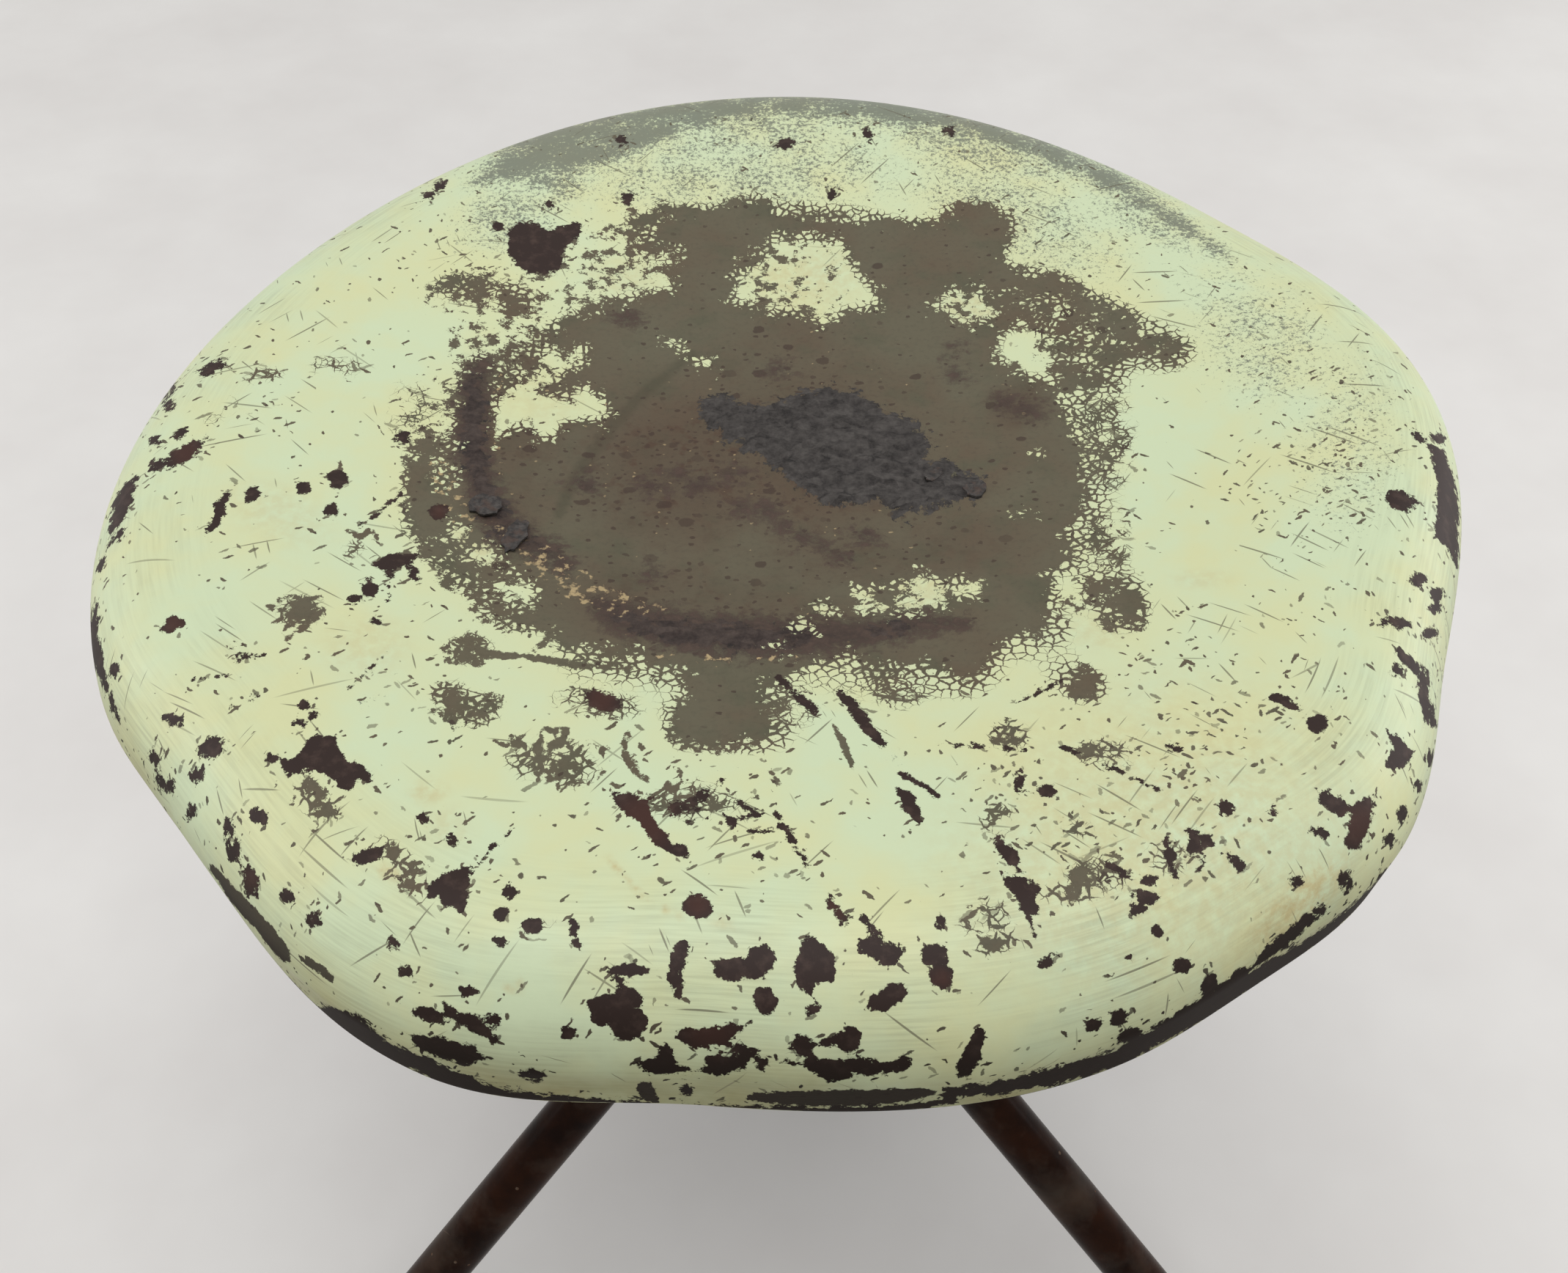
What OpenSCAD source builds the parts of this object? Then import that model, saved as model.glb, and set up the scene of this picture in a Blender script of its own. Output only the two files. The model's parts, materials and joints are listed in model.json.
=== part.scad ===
// Swivelling tripod stool with a pressed, lobed metal seat on a clamped lifting post.
// Millimetres, +Z up. The origin is on the floor, on the axis of the post; -Y is the front.

/* [Seat pan] */
// Mean radius of the seat's outline
seat_r = 182; // [165:1:200]
// Width of the rolled rim, from its crest out to the edge
rim_w = 25; // [18:1:35]
// Height of the roll, from the crest down to the straight skirt
roll_h = 27; // [20:1:32]
// Depth from the crest to the foot of the skirt, where the edge curls in
skirt_h = 41; // [36:1:50]
// How far the skirt leans in towards its foot
skirt_lean = 2; // [0:0.5:4]
// Width of the edge curled in under the skirt
curl_w = 6; // [4:0.5:9]
// Depth of the dish below the crest
dish_depth = 13; // [6:0.5:18]
// Thickness of the sheet
sheet_t = 2; // [1.2:0.1:2.6]

/* [Seat support] */
// Mean radius of the ring welded under the pan
ring_r = 88; // [75:1:105]
// Width of that ring's section
ring_w = 16; // [12:1:22]
// How far the plate reaches past the ring
plate_edge = 3; // [1:0.5:8]
// Thickness of the plate under the ring
plate_t = 4; // [3:0.5:6]
// Room between the plate and the middle of the pan
plate_room = 4; // [3:0.5:8]
// Thread of the screws that hold the plate to the ring
plate_screw_d = 6; // [4:1:8]
// Number of those screws
plate_screw_n = 6; // [4:1:8]

/* [Swivel head] */
// Radius of the head's flange
flange_r = 48; // [44:1:60]
// Thickness of the flange
flange_t = 6; // [4:0.5:9]
// Wall of the head's boss round the bearing
boss_wall = 4.5; // [3:0.5:7]
// Thickness of the web that rides on the bearing
web_t = 10; // [6:0.5:14]
// Thread of the bolts through the flange
bolt_d = 8; // [5:1:10]
// Number of those bolts
bolt_n = 4; // [3:1:6]

/* [Thrust bearing] */
// Diameter of the balls
ball_d = 6; // [4:0.5:7]
// Radius of the circle on which the balls run
ball_r = 14; // [13:0.5:18]
// Number of balls
ball_n = 12; // [6:1:12]
// Thickness of each race
race_t = 4.5; // [3.5:0.5:7]
// Depth of the groove in each race
groove_depth = 1.2; // [0.6:0.1:1.6]
// Width of a race outside the ball circle
race_rim = 5; // [4:0.5:7]

/* [Post] */
// Diameter of the lifting post
post_d = 25; // [22:0.5:30]
// Diameter of the spigot at its top
spigot_d = 16; // [12:0.5:18]
// How far the seat lifts
lift = 90; // [60:1:110]
// Thickness of the collar that rests on the bush
collar_t = 6; // [4:0.5:10]
// How far the collar stands out from the post
collar_w = 7.5; // [5:0.5:10]
// Thickness of the washer on the spigot
washer_t = 2.5; // [1.5:0.5:4]
// Height of the nut on the spigot
nut_h = 8; // [6:0.5:14]
// Width across the flats of that nut
nut_flats = 24; // [22:1:30]
// Length of the stop ring at the foot of the post
stop_len = 12; // [8:1:20]
// Diameter of the pin through the stop ring
stop_pin_d = 4; // [3:0.5:6]

/* [Column] */
// Room round the post inside the column
column_room = 2.5; // [2:0.25:5]
// Wall of the column
column_wall = 4; // [2.5:0.25:6]
// How far the column reaches above the clamp ring
column_above = 34; // [24:1:50]
// How far the bush reaches below the clamp ring
bush_below = 4; // [2:0.5:10]
// Thickness of the bush's flange
bush_flange_t = 3; // [2:0.5:6]
// Length of the plug inside the foot of the column
plug_len = 12; // [6:1:20]
// Thickness of the plug's cap
plug_cap_t = 4; // [2:0.5:8]

/* [Clamp] */
// Height of the clamp ring
clamp_h = 36; // [30:1:50]
// Wall of the clamp ring
clamp_wall = 7; // [4:0.5:10]
// Free column between the hub and the clamp ring
clamp_room = 22; // [10:1:40]
// Thread of the clamp screw
clamp_d = 12; // [10:1:16]
// Length of the boss that the screw runs in, outside the ring
clamp_boss = 16; // [10:1:30]
// Wall of that boss
clamp_boss_wall = 6; // [4:0.5:10]
// Diameter of the pad that the screw presses on the post
pad_d = 10; // [6:0.5:10]
// Diameter of the screw's head
head_d = 20; // [16:1:30]
// Length of the screw's head
head_len = 22; // [16:1:40]
// Free thread between the boss and the head when clamped
head_room = 4; // [2:0.5:8]
// Diameter of the sliding bar
bar_d = 8; // [5:0.5:9]
// Length of the sliding bar
bar_len = 90; // [60:1:140]
// Diameter of the knobs on the bar
knob_d = 14; // [12:0.5:20]
// Depth of the bar in each knob
knob_grip = 4; // [3:0.5:6]

/* [Tripod] */
// Height at which the lines of the legs cross the axis
cross_height = 267; // [230:1:330]
// Radius of the circle on which the feet stand
stance_r = 255; // [210:1:320]
// Diameter of the leg tubes
leg_d = 19; // [16:0.5:22]
// Wall of the leg tubes
leg_wall = 2; // [1:0.25:3]
// Distance along a leg from the axis to its upper end
leg_start = 44; // [42:1:55]
// Depth of a leg in its socket
socket_depth = 51; // [30:1:70]
// Wall of a socket
socket_wall = 4.5; // [3:0.5:7]
// Wall of the hub round the column
hub_wall = 11; // [8:0.5:16]
// Height of the hub above the crossing of the legs
hub_above = 33; // [26:1:45]
// Height of the hub below the crossing of the legs
hub_below = 39; // [25:1:50]
// Chamfer of the hub's rims
hub_edge = 3; // [1:0.5:5]
// Thread of the set screws in the hub
hub_screw_d = 8; // [5:1:10]
// Thread of the set screws in the sockets
leg_screw_d = 6; // [4:1:8]

/* [Feet] */
// Wall of a rubber foot round the leg
foot_wall = 5; // [3:0.5:8]
// Depth of a leg in its foot
foot_grip = 34; // [20:1:50]
// How far the sole reaches past the boot round the leg
foot_flare = 6; // [3:0.5:10]
// Height of the round sole
sole_h = 11; // [7:0.5:16]
// Rubber between the lowest edge of a leg and the floor
foot_sole = 6; // [4:0.5:12]
// Thickness of the washer between a leg and its foot
foot_washer_t = 2; // [1:0.5:3]

/* [Fits] */
// Radial clearance of a turning or sliding fit
running_gap = 0.05; // [0.02:0.01:0.1]
// Radial clearance of a fixed fit
fixed_gap = 0.03; // [0.01:0.01:0.05]
// Clearance between pieces that pass each other
clear_gap = 0.3; // [0.2:0.05:0.5]

/* [Hidden] */

$fn = 64;
HEX = 6;

// How far a cutting shape runs past the face that it cuts
CUT = 1;

// Hand-beaten outline: bearing from +X and reach beyond the mean radius, one row for each turn of the edge
LOBES = [
    [12, 4], [40, -4], [90, 7], [152, -5], [205, 2], [219, -1],
    [245, 7], [265, -2], [292, 2], [304, 0.5], [316, 2.5], [338, -6.5],
];

// Bearings of the legs, of the hub's screws between them and of the head's first bolt
BEARING_FRONT_RIGHT = -30;
BEARING_BACK = 90;
BEARING_FRONT_LEFT = 210;
LEG_BEARINGS = [BEARING_FRONT_RIGHT, BEARING_BACK, BEARING_FRONT_LEFT];
LEG_PITCH = 120;
BOLT_START = 45;

// Colours
MINT = "#cbd1b1";
BROWN = "#2d1b10";
STEEL = "#8d8c88";
BRONZE = "#9a7440";
RUBBER = "#1d1c1b";
BRASS = "#b08d4a";

// Heights, from the hub up to the crest of the seat
hub_top = cross_height + hub_above;
hub_bottom = cross_height - hub_below;
clamp_bottom = hub_top + clamp_room;
clamp_z = clamp_bottom + clamp_h / 2;
bush_bottom = clamp_bottom - bush_below;
column_top = clamp_bottom + clamp_h + column_above;
bush_len = column_top - bush_bottom;
collar_bottom = column_top + bush_flange_t;
collar_top = collar_bottom + collar_t;
ball_z = collar_top + race_t + ball_d / 2 - groove_depth;
race_bottom = ball_z + ball_d / 2 - groove_depth;
web_bottom = race_bottom + race_t;
web_top = web_bottom + web_t;
washer_bottom = web_top + 2 * running_gap;
nut_bottom = washer_bottom + washer_t;
spigot_proud = 2.3;
spigot_top = nut_bottom + nut_h + spigot_proud;
spigot_room = 0.5;
head_top = spigot_top + spigot_room;
flange_bottom = head_top - flange_t;
plate_top = head_top + plate_t;
pan_low = plate_top + plate_room;
crest = pan_low + sheet_t + dish_depth;

// Radii round the axis of the post
post_r = post_d / 2;
spigot_r = spigot_d / 2;
column_ir = post_r + column_room;
column_or = column_ir + column_wall;
collar_r = post_r + collar_w;
race_r = ball_r + race_rim;
skirt_room = 1.5;
skirt_lap = 1;
cavity_r = max(collar_r, race_r) + skirt_room;
boss_r = cavity_r + boss_wall;
nut_room = 4;
washer_edge = 1;
pocket_r = hex_r(nut_flats) + nut_room;
bolt_r = (max(boss_r, pocket_r) + flange_r) / 2;
plate_r = ring_r + ring_w / 2 + plate_edge;
clamp_r = column_or + clamp_wall;
hub_r = column_or + hub_wall;

// Foot of the post and of the column
stop_gap = 0.5;
stop_top = bush_bottom - lift - stop_gap;
stop_bottom = stop_top - stop_len;
post_tail = 3;
post_bottom = stop_bottom - post_tail;
plug_room = 12;
column_tail = 20;
column_bottom = min(hub_bottom - column_tail, post_bottom - plug_room - plug_len);

// The clamp, along +X
pad_tip = post_r + running_gap;
pad_proud = 3;
pad_back = column_or + pad_proud;
boss_end = clamp_r + clamp_boss;
head_start = boss_end + head_room;
bar_x = head_start + head_len / 2;
knob_y = bar_len / 2 - knob_grip + knob_d / 2;

// The legs
leg_r = leg_d / 2;
splay = atan2(stance_r, cross_height);
socket_r = leg_r + socket_wall;
socket_end = leg_start + socket_depth;
leg_end_z = foot_sole + leg_r * sin(splay);
leg_end = (cross_height - leg_end_z) / cos(splay);
leg_screw_inset = 2.5 * leg_screw_d;
leg_screw_at = socket_end - leg_screw_inset;
hub_screw_drop = 1.2 * hub_screw_d;
hub_screw_z = hub_top - hub_edge - hub_screw_drop;
foot_r = leg_r + foot_wall;
foot_lip = 2;
boot_end = leg_end + foot_washer_t + foot_lip;
foot_at = (leg_end * sin(splay) + stance_r) / 2;
sole_r = foot_r + foot_flare;

// Small hardware: proportions of heads to threads
head_washer_t = 1.6;
screw_room = 0.5;
bolt_tip = plate_top + plate_room / 2;
function head_height(d) = 0.65 * d;
function head_flats(d) = 1.6 * d;
function square_side(d) = 1.3 * d;
function square_height(d) = 0.8 * d;
function hex_r(flats) = flats / 2 / cos(180 / HEX);

// Outline and dish of the seat
RIM_STEPS = 72;
DISH_STEPS = 8;
ROLL_STEPS = 5;
DISH_POWER = 1.5;
FADE_FROM = 0.6;
CURL_IN = 0.4;
CURL_DOWN = 0.6;
crest_r = seat_r - rim_w;

function lobe(a) =
    let (n = len(LOBES),
         before = [for (i = [0:n - 1]) if (LOBES[i][0] <= a) i],
         i = len(before) == 0 ? n - 1 : before[len(before) - 1],
         j = (i + 1) % n,
         span = (LOBES[j][0] - LOBES[i][0] + 360) % 360,
         u = ((a - LOBES[i][0] + 360) % 360) / span,
         ease = (1 - cos(180 * u)) / 2)
    LOBES[i][1] + (LOBES[j][1] - LOBES[i][1]) * ease;

function smooth(u) = let (v = min(1, max(0, u))) v * v * (3 - 2 * v);
function dish_drop(r) = dish_depth * (1 + cos(180 * pow(min(1, r / crest_r), DISH_POWER))) / 2;
function pan_under(r) = crest - dish_drop(r) - sheet_t;

// A station of the pan's section: mean radius, share of the lobes, height
function dish_row(t, drop) =
    [t * crest_r, smooth((t - FADE_FROM) / (1 - FADE_FROM)), crest - dish_drop(t * crest_r) - drop];
function roll_row(a, inset) =
    [crest_r + (rim_w - inset) * sin(a), 1, crest - roll_h + (roll_h - inset) * cos(a)];

function dish_rows(drop) = [for (k = [1:DISH_STEPS]) dish_row(k / DISH_STEPS, drop)];
function roll_rows(inset) = [for (k = [1:ROLL_STEPS]) roll_row(90 * k / ROLL_STEPS, inset)];
function edge_rows(inset) =
    let (edge_r = seat_r - skirt_lean, edge_z = crest - skirt_h, low = edge_z - CURL_DOWN * curl_w + inset)
    [
        [edge_r - inset, 1, edge_z],
        [edge_r - CURL_IN * curl_w, 1, low],
        [edge_r - curl_w, 1, low],
    ];
function reversed(rows) = [for (k = [len(rows) - 1:-1:0]) rows[k]];

pan_rows = concat(
    dish_rows(0), roll_rows(0), edge_rows(0),
    reversed(edge_rows(sheet_t)), reversed(roll_rows(sheet_t)), reversed(dish_rows(sheet_t)));

function pan_point(row, a) = let (r = row[0] + row[1] * lobe(a)) [r * cos(a), r * sin(a), row[2]];

// Shared shapes
module ring_of(n, r, start = 0) {
    for (k = [0:n - 1]) rotate([0, 0, start + 360 * k / n]) translate([r, 0, 0]) children();
}

module tube(outer, inner, h) {
    difference() {
        cylinder(r = outer, h = h);
        translate([0, 0, -CUT]) cylinder(r = inner, h = h + 2 * CUT);
    }
}

module hex_bar(flats, h) {
    cylinder(r = hex_r(flats), h = h, $fn = HEX);
}

module hex_screw(d, length) {
    translate([0, 0, -head_height(d)]) hex_bar(head_flats(d), head_height(d));
    cylinder(r = d / 2, h = length);
}

// A square-headed set screw along +X, its tip at the given radius and its head against a wall
module set_screw(d, tip, seat) {
    side = square_side(d);
    translate([tip, 0, 0]) rotate([0, 90, 0]) cylinder(r = d / 2, h = seat - tip);
    translate([seat, -side / 2, -side / 2]) cube([square_height(d), side, side]);
}

module on_leg(bearing) {
    rotate([0, 0, bearing]) translate([0, 0, cross_height]) rotate([0, 180 - splay, 0]) children();
}

module race(bottom, outer, inner) {
    difference() {
        translate([0, 0, bottom]) tube(outer, inner, race_t);
        translate([0, 0, ball_z]) rotate_extrude()
            translate([ball_r, 0]) circle(r = ball_d / 2 + running_gap);
    }
}

// Seat
module seat_pan() {
    n = RIM_STEPS;
    m = len(pan_rows);
    rims = [for (row = pan_rows) for (k = [0:n - 1]) pan_point(row, 360 * k / n)];
    points = concat(rims, [[0, 0, crest - dish_depth], [0, 0, pan_low]]);
    top = m * n;
    under = top + 1;
    walls = [for (i = [0:m - 2]) for (k = [0:n - 1]) for (half = [0, 1])
        let (q = (k + 1) % n, a = i * n + k, b = i * n + q, c = (i + 1) * n + q, d = (i + 1) * n + k)
        half == 0 ? [a, b, c] : [a, c, d]];
    caps = [for (k = [0:n - 1]) for (half = [0, 1])
        let (q = (k + 1) % n)
        half == 0 ? [top, q, k] : [under, (m - 1) * n + k, (m - 1) * n + q]];
    color(MINT) polyhedron(points, concat(walls, caps));
}

module support_ring() {
    inner = ring_r - ring_w / 2;
    outer = ring_r + ring_w / 2;
    color(BROWN) difference() {
        rotate_extrude() polygon([
            [inner, plate_top], [outer, plate_top],
            [outer, pan_under(outer) - clear_gap], [inner, pan_under(inner) - clear_gap],
        ]);
        translate([0, 0, plate_top - CUT]) ring_of(plate_screw_n, ring_r)
            cylinder(r = plate_screw_d / 2 + fixed_gap, h = CUT + plate_screw_d + screw_room);
    }
}

module seat_plate() {
    color(BROWN) translate([0, 0, head_top]) difference() {
        cylinder(r = plate_r, h = plate_t);
        translate([0, 0, -CUT]) ring_of(plate_screw_n, ring_r)
            cylinder(r = plate_screw_d / 2 + clear_gap, h = plate_t + 2 * CUT);
        translate([0, 0, -CUT]) ring_of(bolt_n, bolt_r, BOLT_START)
            cylinder(r = bolt_d / 2 + fixed_gap, h = plate_t + 2 * CUT);
    }
}

module plate_screws() {
    color(STEEL) translate([0, 0, head_top]) ring_of(plate_screw_n, ring_r)
        hex_screw(plate_screw_d, plate_t + plate_screw_d);
}

module swivel_head() {
    skirt_bottom = collar_top - skirt_lap;
    color(BROWN) difference() {
        union() {
            translate([0, 0, skirt_bottom]) cylinder(r = boss_r, h = head_top - skirt_bottom);
            translate([0, 0, flange_bottom]) cylinder(r = flange_r, h = flange_t);
        }
        translate([0, 0, skirt_bottom - CUT]) cylinder(r = cavity_r, h = web_bottom - skirt_bottom + CUT);
        translate([0, 0, web_bottom - CUT]) cylinder(r = spigot_r + running_gap, h = web_t + 2 * CUT);
        translate([0, 0, web_top]) cylinder(r = pocket_r, h = head_top - web_top + CUT);
        translate([0, 0, flange_bottom - CUT]) ring_of(bolt_n, bolt_r, BOLT_START)
            cylinder(r = bolt_d / 2 + clear_gap, h = flange_t + 2 * CUT);
    }
}

module head_bolts() {
    under = flange_bottom - head_washer_t;
    color(STEEL) translate([0, 0, under]) ring_of(bolt_n, bolt_r, BOLT_START)
        hex_screw(bolt_d, bolt_tip - under);
}

module head_washers() {
    color(STEEL) translate([0, 0, flange_bottom - head_washer_t]) ring_of(bolt_n, bolt_r, BOLT_START)
        tube(bolt_d, bolt_d / 2 + clear_gap, head_washer_t);
}

module upper_race() {
    color(STEEL) race(race_bottom, cavity_r - fixed_gap, spigot_r + clear_gap);
}

// Post
module post() {
    color(STEEL) difference() {
        union() {
            translate([0, 0, post_bottom]) cylinder(r = post_r, h = collar_top - post_bottom);
            translate([0, 0, post_bottom]) cylinder(r = spigot_r, h = spigot_top - post_bottom);
        }
        translate([-post_d, 0, stop_top - stop_len / 2]) rotate([0, 90, 0])
            cylinder(r = stop_pin_d / 2 + fixed_gap, h = 2 * post_d);
    }
}

module post_collar() {
    color(STEEL) translate([0, 0, collar_bottom]) tube(collar_r, post_r + fixed_gap, collar_t);
}

module lower_race() {
    color(STEEL) race(collar_top, race_r, spigot_r + fixed_gap);
}

module bearing_balls() {
    color(STEEL) translate([0, 0, ball_z]) ring_of(ball_n, ball_r) sphere(r = ball_d / 2);
}

module spigot_washer() {
    color(STEEL) translate([0, 0, washer_bottom])
        tube(hex_r(nut_flats) + washer_edge, spigot_r + fixed_gap, washer_t);
}

module spigot_nut() {
    color(STEEL) translate([0, 0, nut_bottom]) difference() {
        hex_bar(nut_flats, nut_h);
        translate([0, 0, -CUT]) cylinder(r = spigot_r + fixed_gap, h = nut_h + 2 * CUT);
    }
}

module stop_ring() {
    color(STEEL) difference() {
        translate([0, 0, stop_bottom]) tube(column_ir - clear_gap, post_r + fixed_gap, stop_len);
        translate([-post_d, 0, stop_top - stop_len / 2]) rotate([0, 90, 0])
            cylinder(r = stop_pin_d / 2 + fixed_gap, h = 2 * post_d);
    }
}

module stop_pin() {
    half = column_ir - 2 * clear_gap;
    color(STEEL) translate([-half, 0, stop_top - stop_len / 2]) rotate([0, 90, 0])
        cylinder(r = stop_pin_d / 2, h = 2 * half);
}

// Column
module pad_hole() {
    translate([0, 0, clamp_z]) rotate([0, 90, 0]) cylinder(r = pad_d / 2 + running_gap, h = 2 * column_or);
}

module column() {
    color(BROWN) difference() {
        translate([0, 0, column_bottom]) tube(column_or, column_ir, column_top - column_bottom);
        pad_hole();
    }
}

module column_bush() {
    color(BRONZE) difference() {
        union() {
            translate([0, 0, bush_bottom]) cylinder(r = column_ir - fixed_gap, h = bush_len);
            translate([0, 0, column_top]) cylinder(r = column_or, h = bush_flange_t);
        }
        translate([0, 0, bush_bottom - CUT])
            cylinder(r = post_r + running_gap, h = bush_len + bush_flange_t + 2 * CUT);
        pad_hole();
    }
}

module column_plug() {
    color(RUBBER) {
        translate([0, 0, column_bottom]) cylinder(r = column_ir - fixed_gap, h = plug_len);
        translate([0, 0, column_bottom - plug_cap_t]) cylinder(r = column_or, h = plug_cap_t);
    }
}

// Clamp
module clamp_ring() {
    color(BROWN) difference() {
        union() {
            translate([0, 0, clamp_bottom]) cylinder(r = clamp_r, h = clamp_h);
            translate([0, 0, clamp_z]) rotate([0, 90, 0])
                cylinder(r = clamp_d / 2 + clamp_boss_wall, h = boss_end);
        }
        translate([0, 0, clamp_bottom - CUT]) cylinder(r = column_or + fixed_gap, h = clamp_h + 2 * CUT);
        translate([0, 0, clamp_z]) rotate([0, 90, 0])
            cylinder(r = clamp_d / 2 + running_gap, h = boss_end + CUT);
    }
}

module clamp_pad() {
    color(BRASS) translate([pad_tip, 0, clamp_z]) rotate([0, 90, 0])
        cylinder(r = pad_d / 2, h = pad_back - pad_tip);
}

module clamp_screw() {
    chamfer = 1.5;
    color(STEEL) difference() {
        translate([0, 0, clamp_z]) rotate([0, 90, 0]) rotate_extrude() polygon([
            [0, pad_back], [clamp_d / 2, pad_back], [clamp_d / 2, head_start],
            [head_d / 2 - chamfer, head_start], [head_d / 2, head_start + chamfer],
            [head_d / 2, head_start + head_len - chamfer],
            [head_d / 2 - chamfer, head_start + head_len], [0, head_start + head_len],
        ]);
        translate([bar_x, head_d, clamp_z]) rotate([90, 0, 0])
            cylinder(r = bar_d / 2 + running_gap, h = 2 * head_d);
    }
}

module clamp_bar() {
    color(STEEL) translate([bar_x, bar_len / 2, clamp_z]) rotate([90, 0, 0])
        cylinder(r = bar_d / 2, h = bar_len);
}

module bar_knobs() {
    color(RUBBER) for (side = [-1, 1]) difference() {
        translate([bar_x, side * knob_y, clamp_z]) sphere(r = knob_d / 2);
        translate([bar_x, bar_len / 2, clamp_z]) rotate([90, 0, 0])
            cylinder(r = bar_d / 2 + fixed_gap, h = bar_len);
    }
}

// Tripod
module hub() {
    color(BROWN) difference() {
        union() {
            rotate_extrude() polygon([
                [0, hub_bottom], [hub_r - hub_edge, hub_bottom], [hub_r, hub_bottom + hub_edge],
                [hub_r, hub_top - hub_edge], [hub_r - hub_edge, hub_top], [0, hub_top],
            ]);
            for (bearing = LEG_BEARINGS) on_leg(bearing) cylinder(r = socket_r, h = socket_end);
        }
        translate([0, 0, hub_bottom - hub_below])
            cylinder(r = column_or + fixed_gap, h = 2 * (hub_below + hub_above));
        for (bearing = LEG_BEARINGS) {
            on_leg(bearing) translate([0, 0, leg_start])
                cylinder(r = leg_r + fixed_gap, h = socket_depth + CUT);
            on_leg(bearing) translate([0, 0, leg_screw_at]) rotate([0, -90, 0])
                cylinder(r = leg_screw_d / 2 + fixed_gap, h = socket_r + CUT);
            rotate([0, 0, bearing + LEG_PITCH / 2]) translate([0, 0, hub_screw_z]) rotate([0, 90, 0])
                cylinder(r = hub_screw_d / 2 + fixed_gap, h = hub_r + CUT);
        }
    }
}

module hub_screws() {
    color(STEEL) for (bearing = LEG_BEARINGS)
        rotate([0, 0, bearing + LEG_PITCH / 2]) translate([0, 0, hub_screw_z])
            set_screw(hub_screw_d, column_or + fixed_gap, hub_r);
}

module leg_screws() {
    color(STEEL) for (bearing = LEG_BEARINGS)
        on_leg(bearing) translate([0, 0, leg_screw_at]) rotate([0, 0, 180])
            set_screw(leg_screw_d, leg_r + fixed_gap, socket_r);
}

module leg(bearing) {
    color(BROWN) on_leg(bearing) translate([0, 0, leg_start])
        tube(leg_r, leg_r - leg_wall, leg_end - leg_start);
}

module leg_front_right() { leg(BEARING_FRONT_RIGHT); }
module leg_back() { leg(BEARING_BACK); }
module leg_front_left() { leg(BEARING_FRONT_LEFT); }

// A boot round the end of the leg, standing on a round flat sole
module foot(bearing) {
    start = leg_end - foot_grip;
    color(RUBBER) difference() {
        union() {
            on_leg(bearing) rotate_extrude() polygon([
                [0, start], [foot_r - foot_lip, start], [foot_r, start + foot_lip],
                [foot_r, boot_end], [0, boot_end],
            ]);
            rotate([0, 0, bearing]) translate([foot_at, 0, 0]) rotate_extrude() polygon([
                [0, 0], [sole_r, 0], [sole_r, sole_h - foot_lip], [sole_r - foot_lip, sole_h], [0, sole_h],
            ]);
        }
        on_leg(bearing) translate([0, 0, start - CUT])
            cylinder(r = leg_r + fixed_gap, h = CUT + foot_grip + foot_washer_t);
        translate([0, 0, -cross_height]) cylinder(r = 2 * stance_r, h = cross_height);
    }
}

module foot_front_right() { foot(BEARING_FRONT_RIGHT); }
module foot_back() { foot(BEARING_BACK); }
module foot_front_left() { foot(BEARING_FRONT_LEFT); }

module foot_washers() {
    color(STEEL) for (bearing = LEG_BEARINGS)
        on_leg(bearing) translate([0, 0, leg_end]) cylinder(r = leg_r, h = foot_washer_t);
}

seat_pan();
support_ring();
seat_plate();
plate_screws();
swivel_head();
head_bolts();
head_washers();
upper_race();
post();
post_collar();
lower_race();
bearing_balls();
spigot_washer();
spigot_nut();
stop_ring();
stop_pin();
column();
column_bush();
column_plug();
clamp_ring();
clamp_pad();
clamp_screw();
clamp_bar();
bar_knobs();
hub();
hub_screws();
leg_front_right();
leg_back();
leg_front_left();
leg_screws();
foot_front_right();
foot_back();
foot_front_left();
foot_washers();
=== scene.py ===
"""Looks of a low swivelling clinic stool: a beaten seat in worn enamel on a dark brown tripod."""
import json
import math
import random

import bmesh
import bpy
import numpy as np
from mathutils import Matrix, Vector, noise


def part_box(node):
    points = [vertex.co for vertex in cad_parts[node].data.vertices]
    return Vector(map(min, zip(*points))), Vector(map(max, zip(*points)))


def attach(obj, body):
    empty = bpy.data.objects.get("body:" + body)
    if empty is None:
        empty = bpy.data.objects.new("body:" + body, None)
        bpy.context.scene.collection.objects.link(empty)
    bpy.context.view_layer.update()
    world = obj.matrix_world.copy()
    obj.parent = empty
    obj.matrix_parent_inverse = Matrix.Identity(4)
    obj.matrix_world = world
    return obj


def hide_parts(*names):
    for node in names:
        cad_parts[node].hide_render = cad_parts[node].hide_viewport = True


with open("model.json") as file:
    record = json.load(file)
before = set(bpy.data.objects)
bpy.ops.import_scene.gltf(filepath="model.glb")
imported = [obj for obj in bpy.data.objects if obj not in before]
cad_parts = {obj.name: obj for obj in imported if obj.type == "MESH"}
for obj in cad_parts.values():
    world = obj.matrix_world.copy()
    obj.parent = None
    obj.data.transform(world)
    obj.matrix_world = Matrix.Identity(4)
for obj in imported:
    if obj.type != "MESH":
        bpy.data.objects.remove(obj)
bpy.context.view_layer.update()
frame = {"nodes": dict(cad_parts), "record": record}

MM = 0.001

# Camera: where the photograph was taken from, in metres, and its lens in pixels of the photograph
PHOTO_W, PHOTO_H = 2139, 1736
FOCAL_PX = 2305
EYE = Vector((-0.001, -0.3527, 0.7395))
LOOK_DOWN = math.radians(45.85)
SENSOR = 36.0

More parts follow.
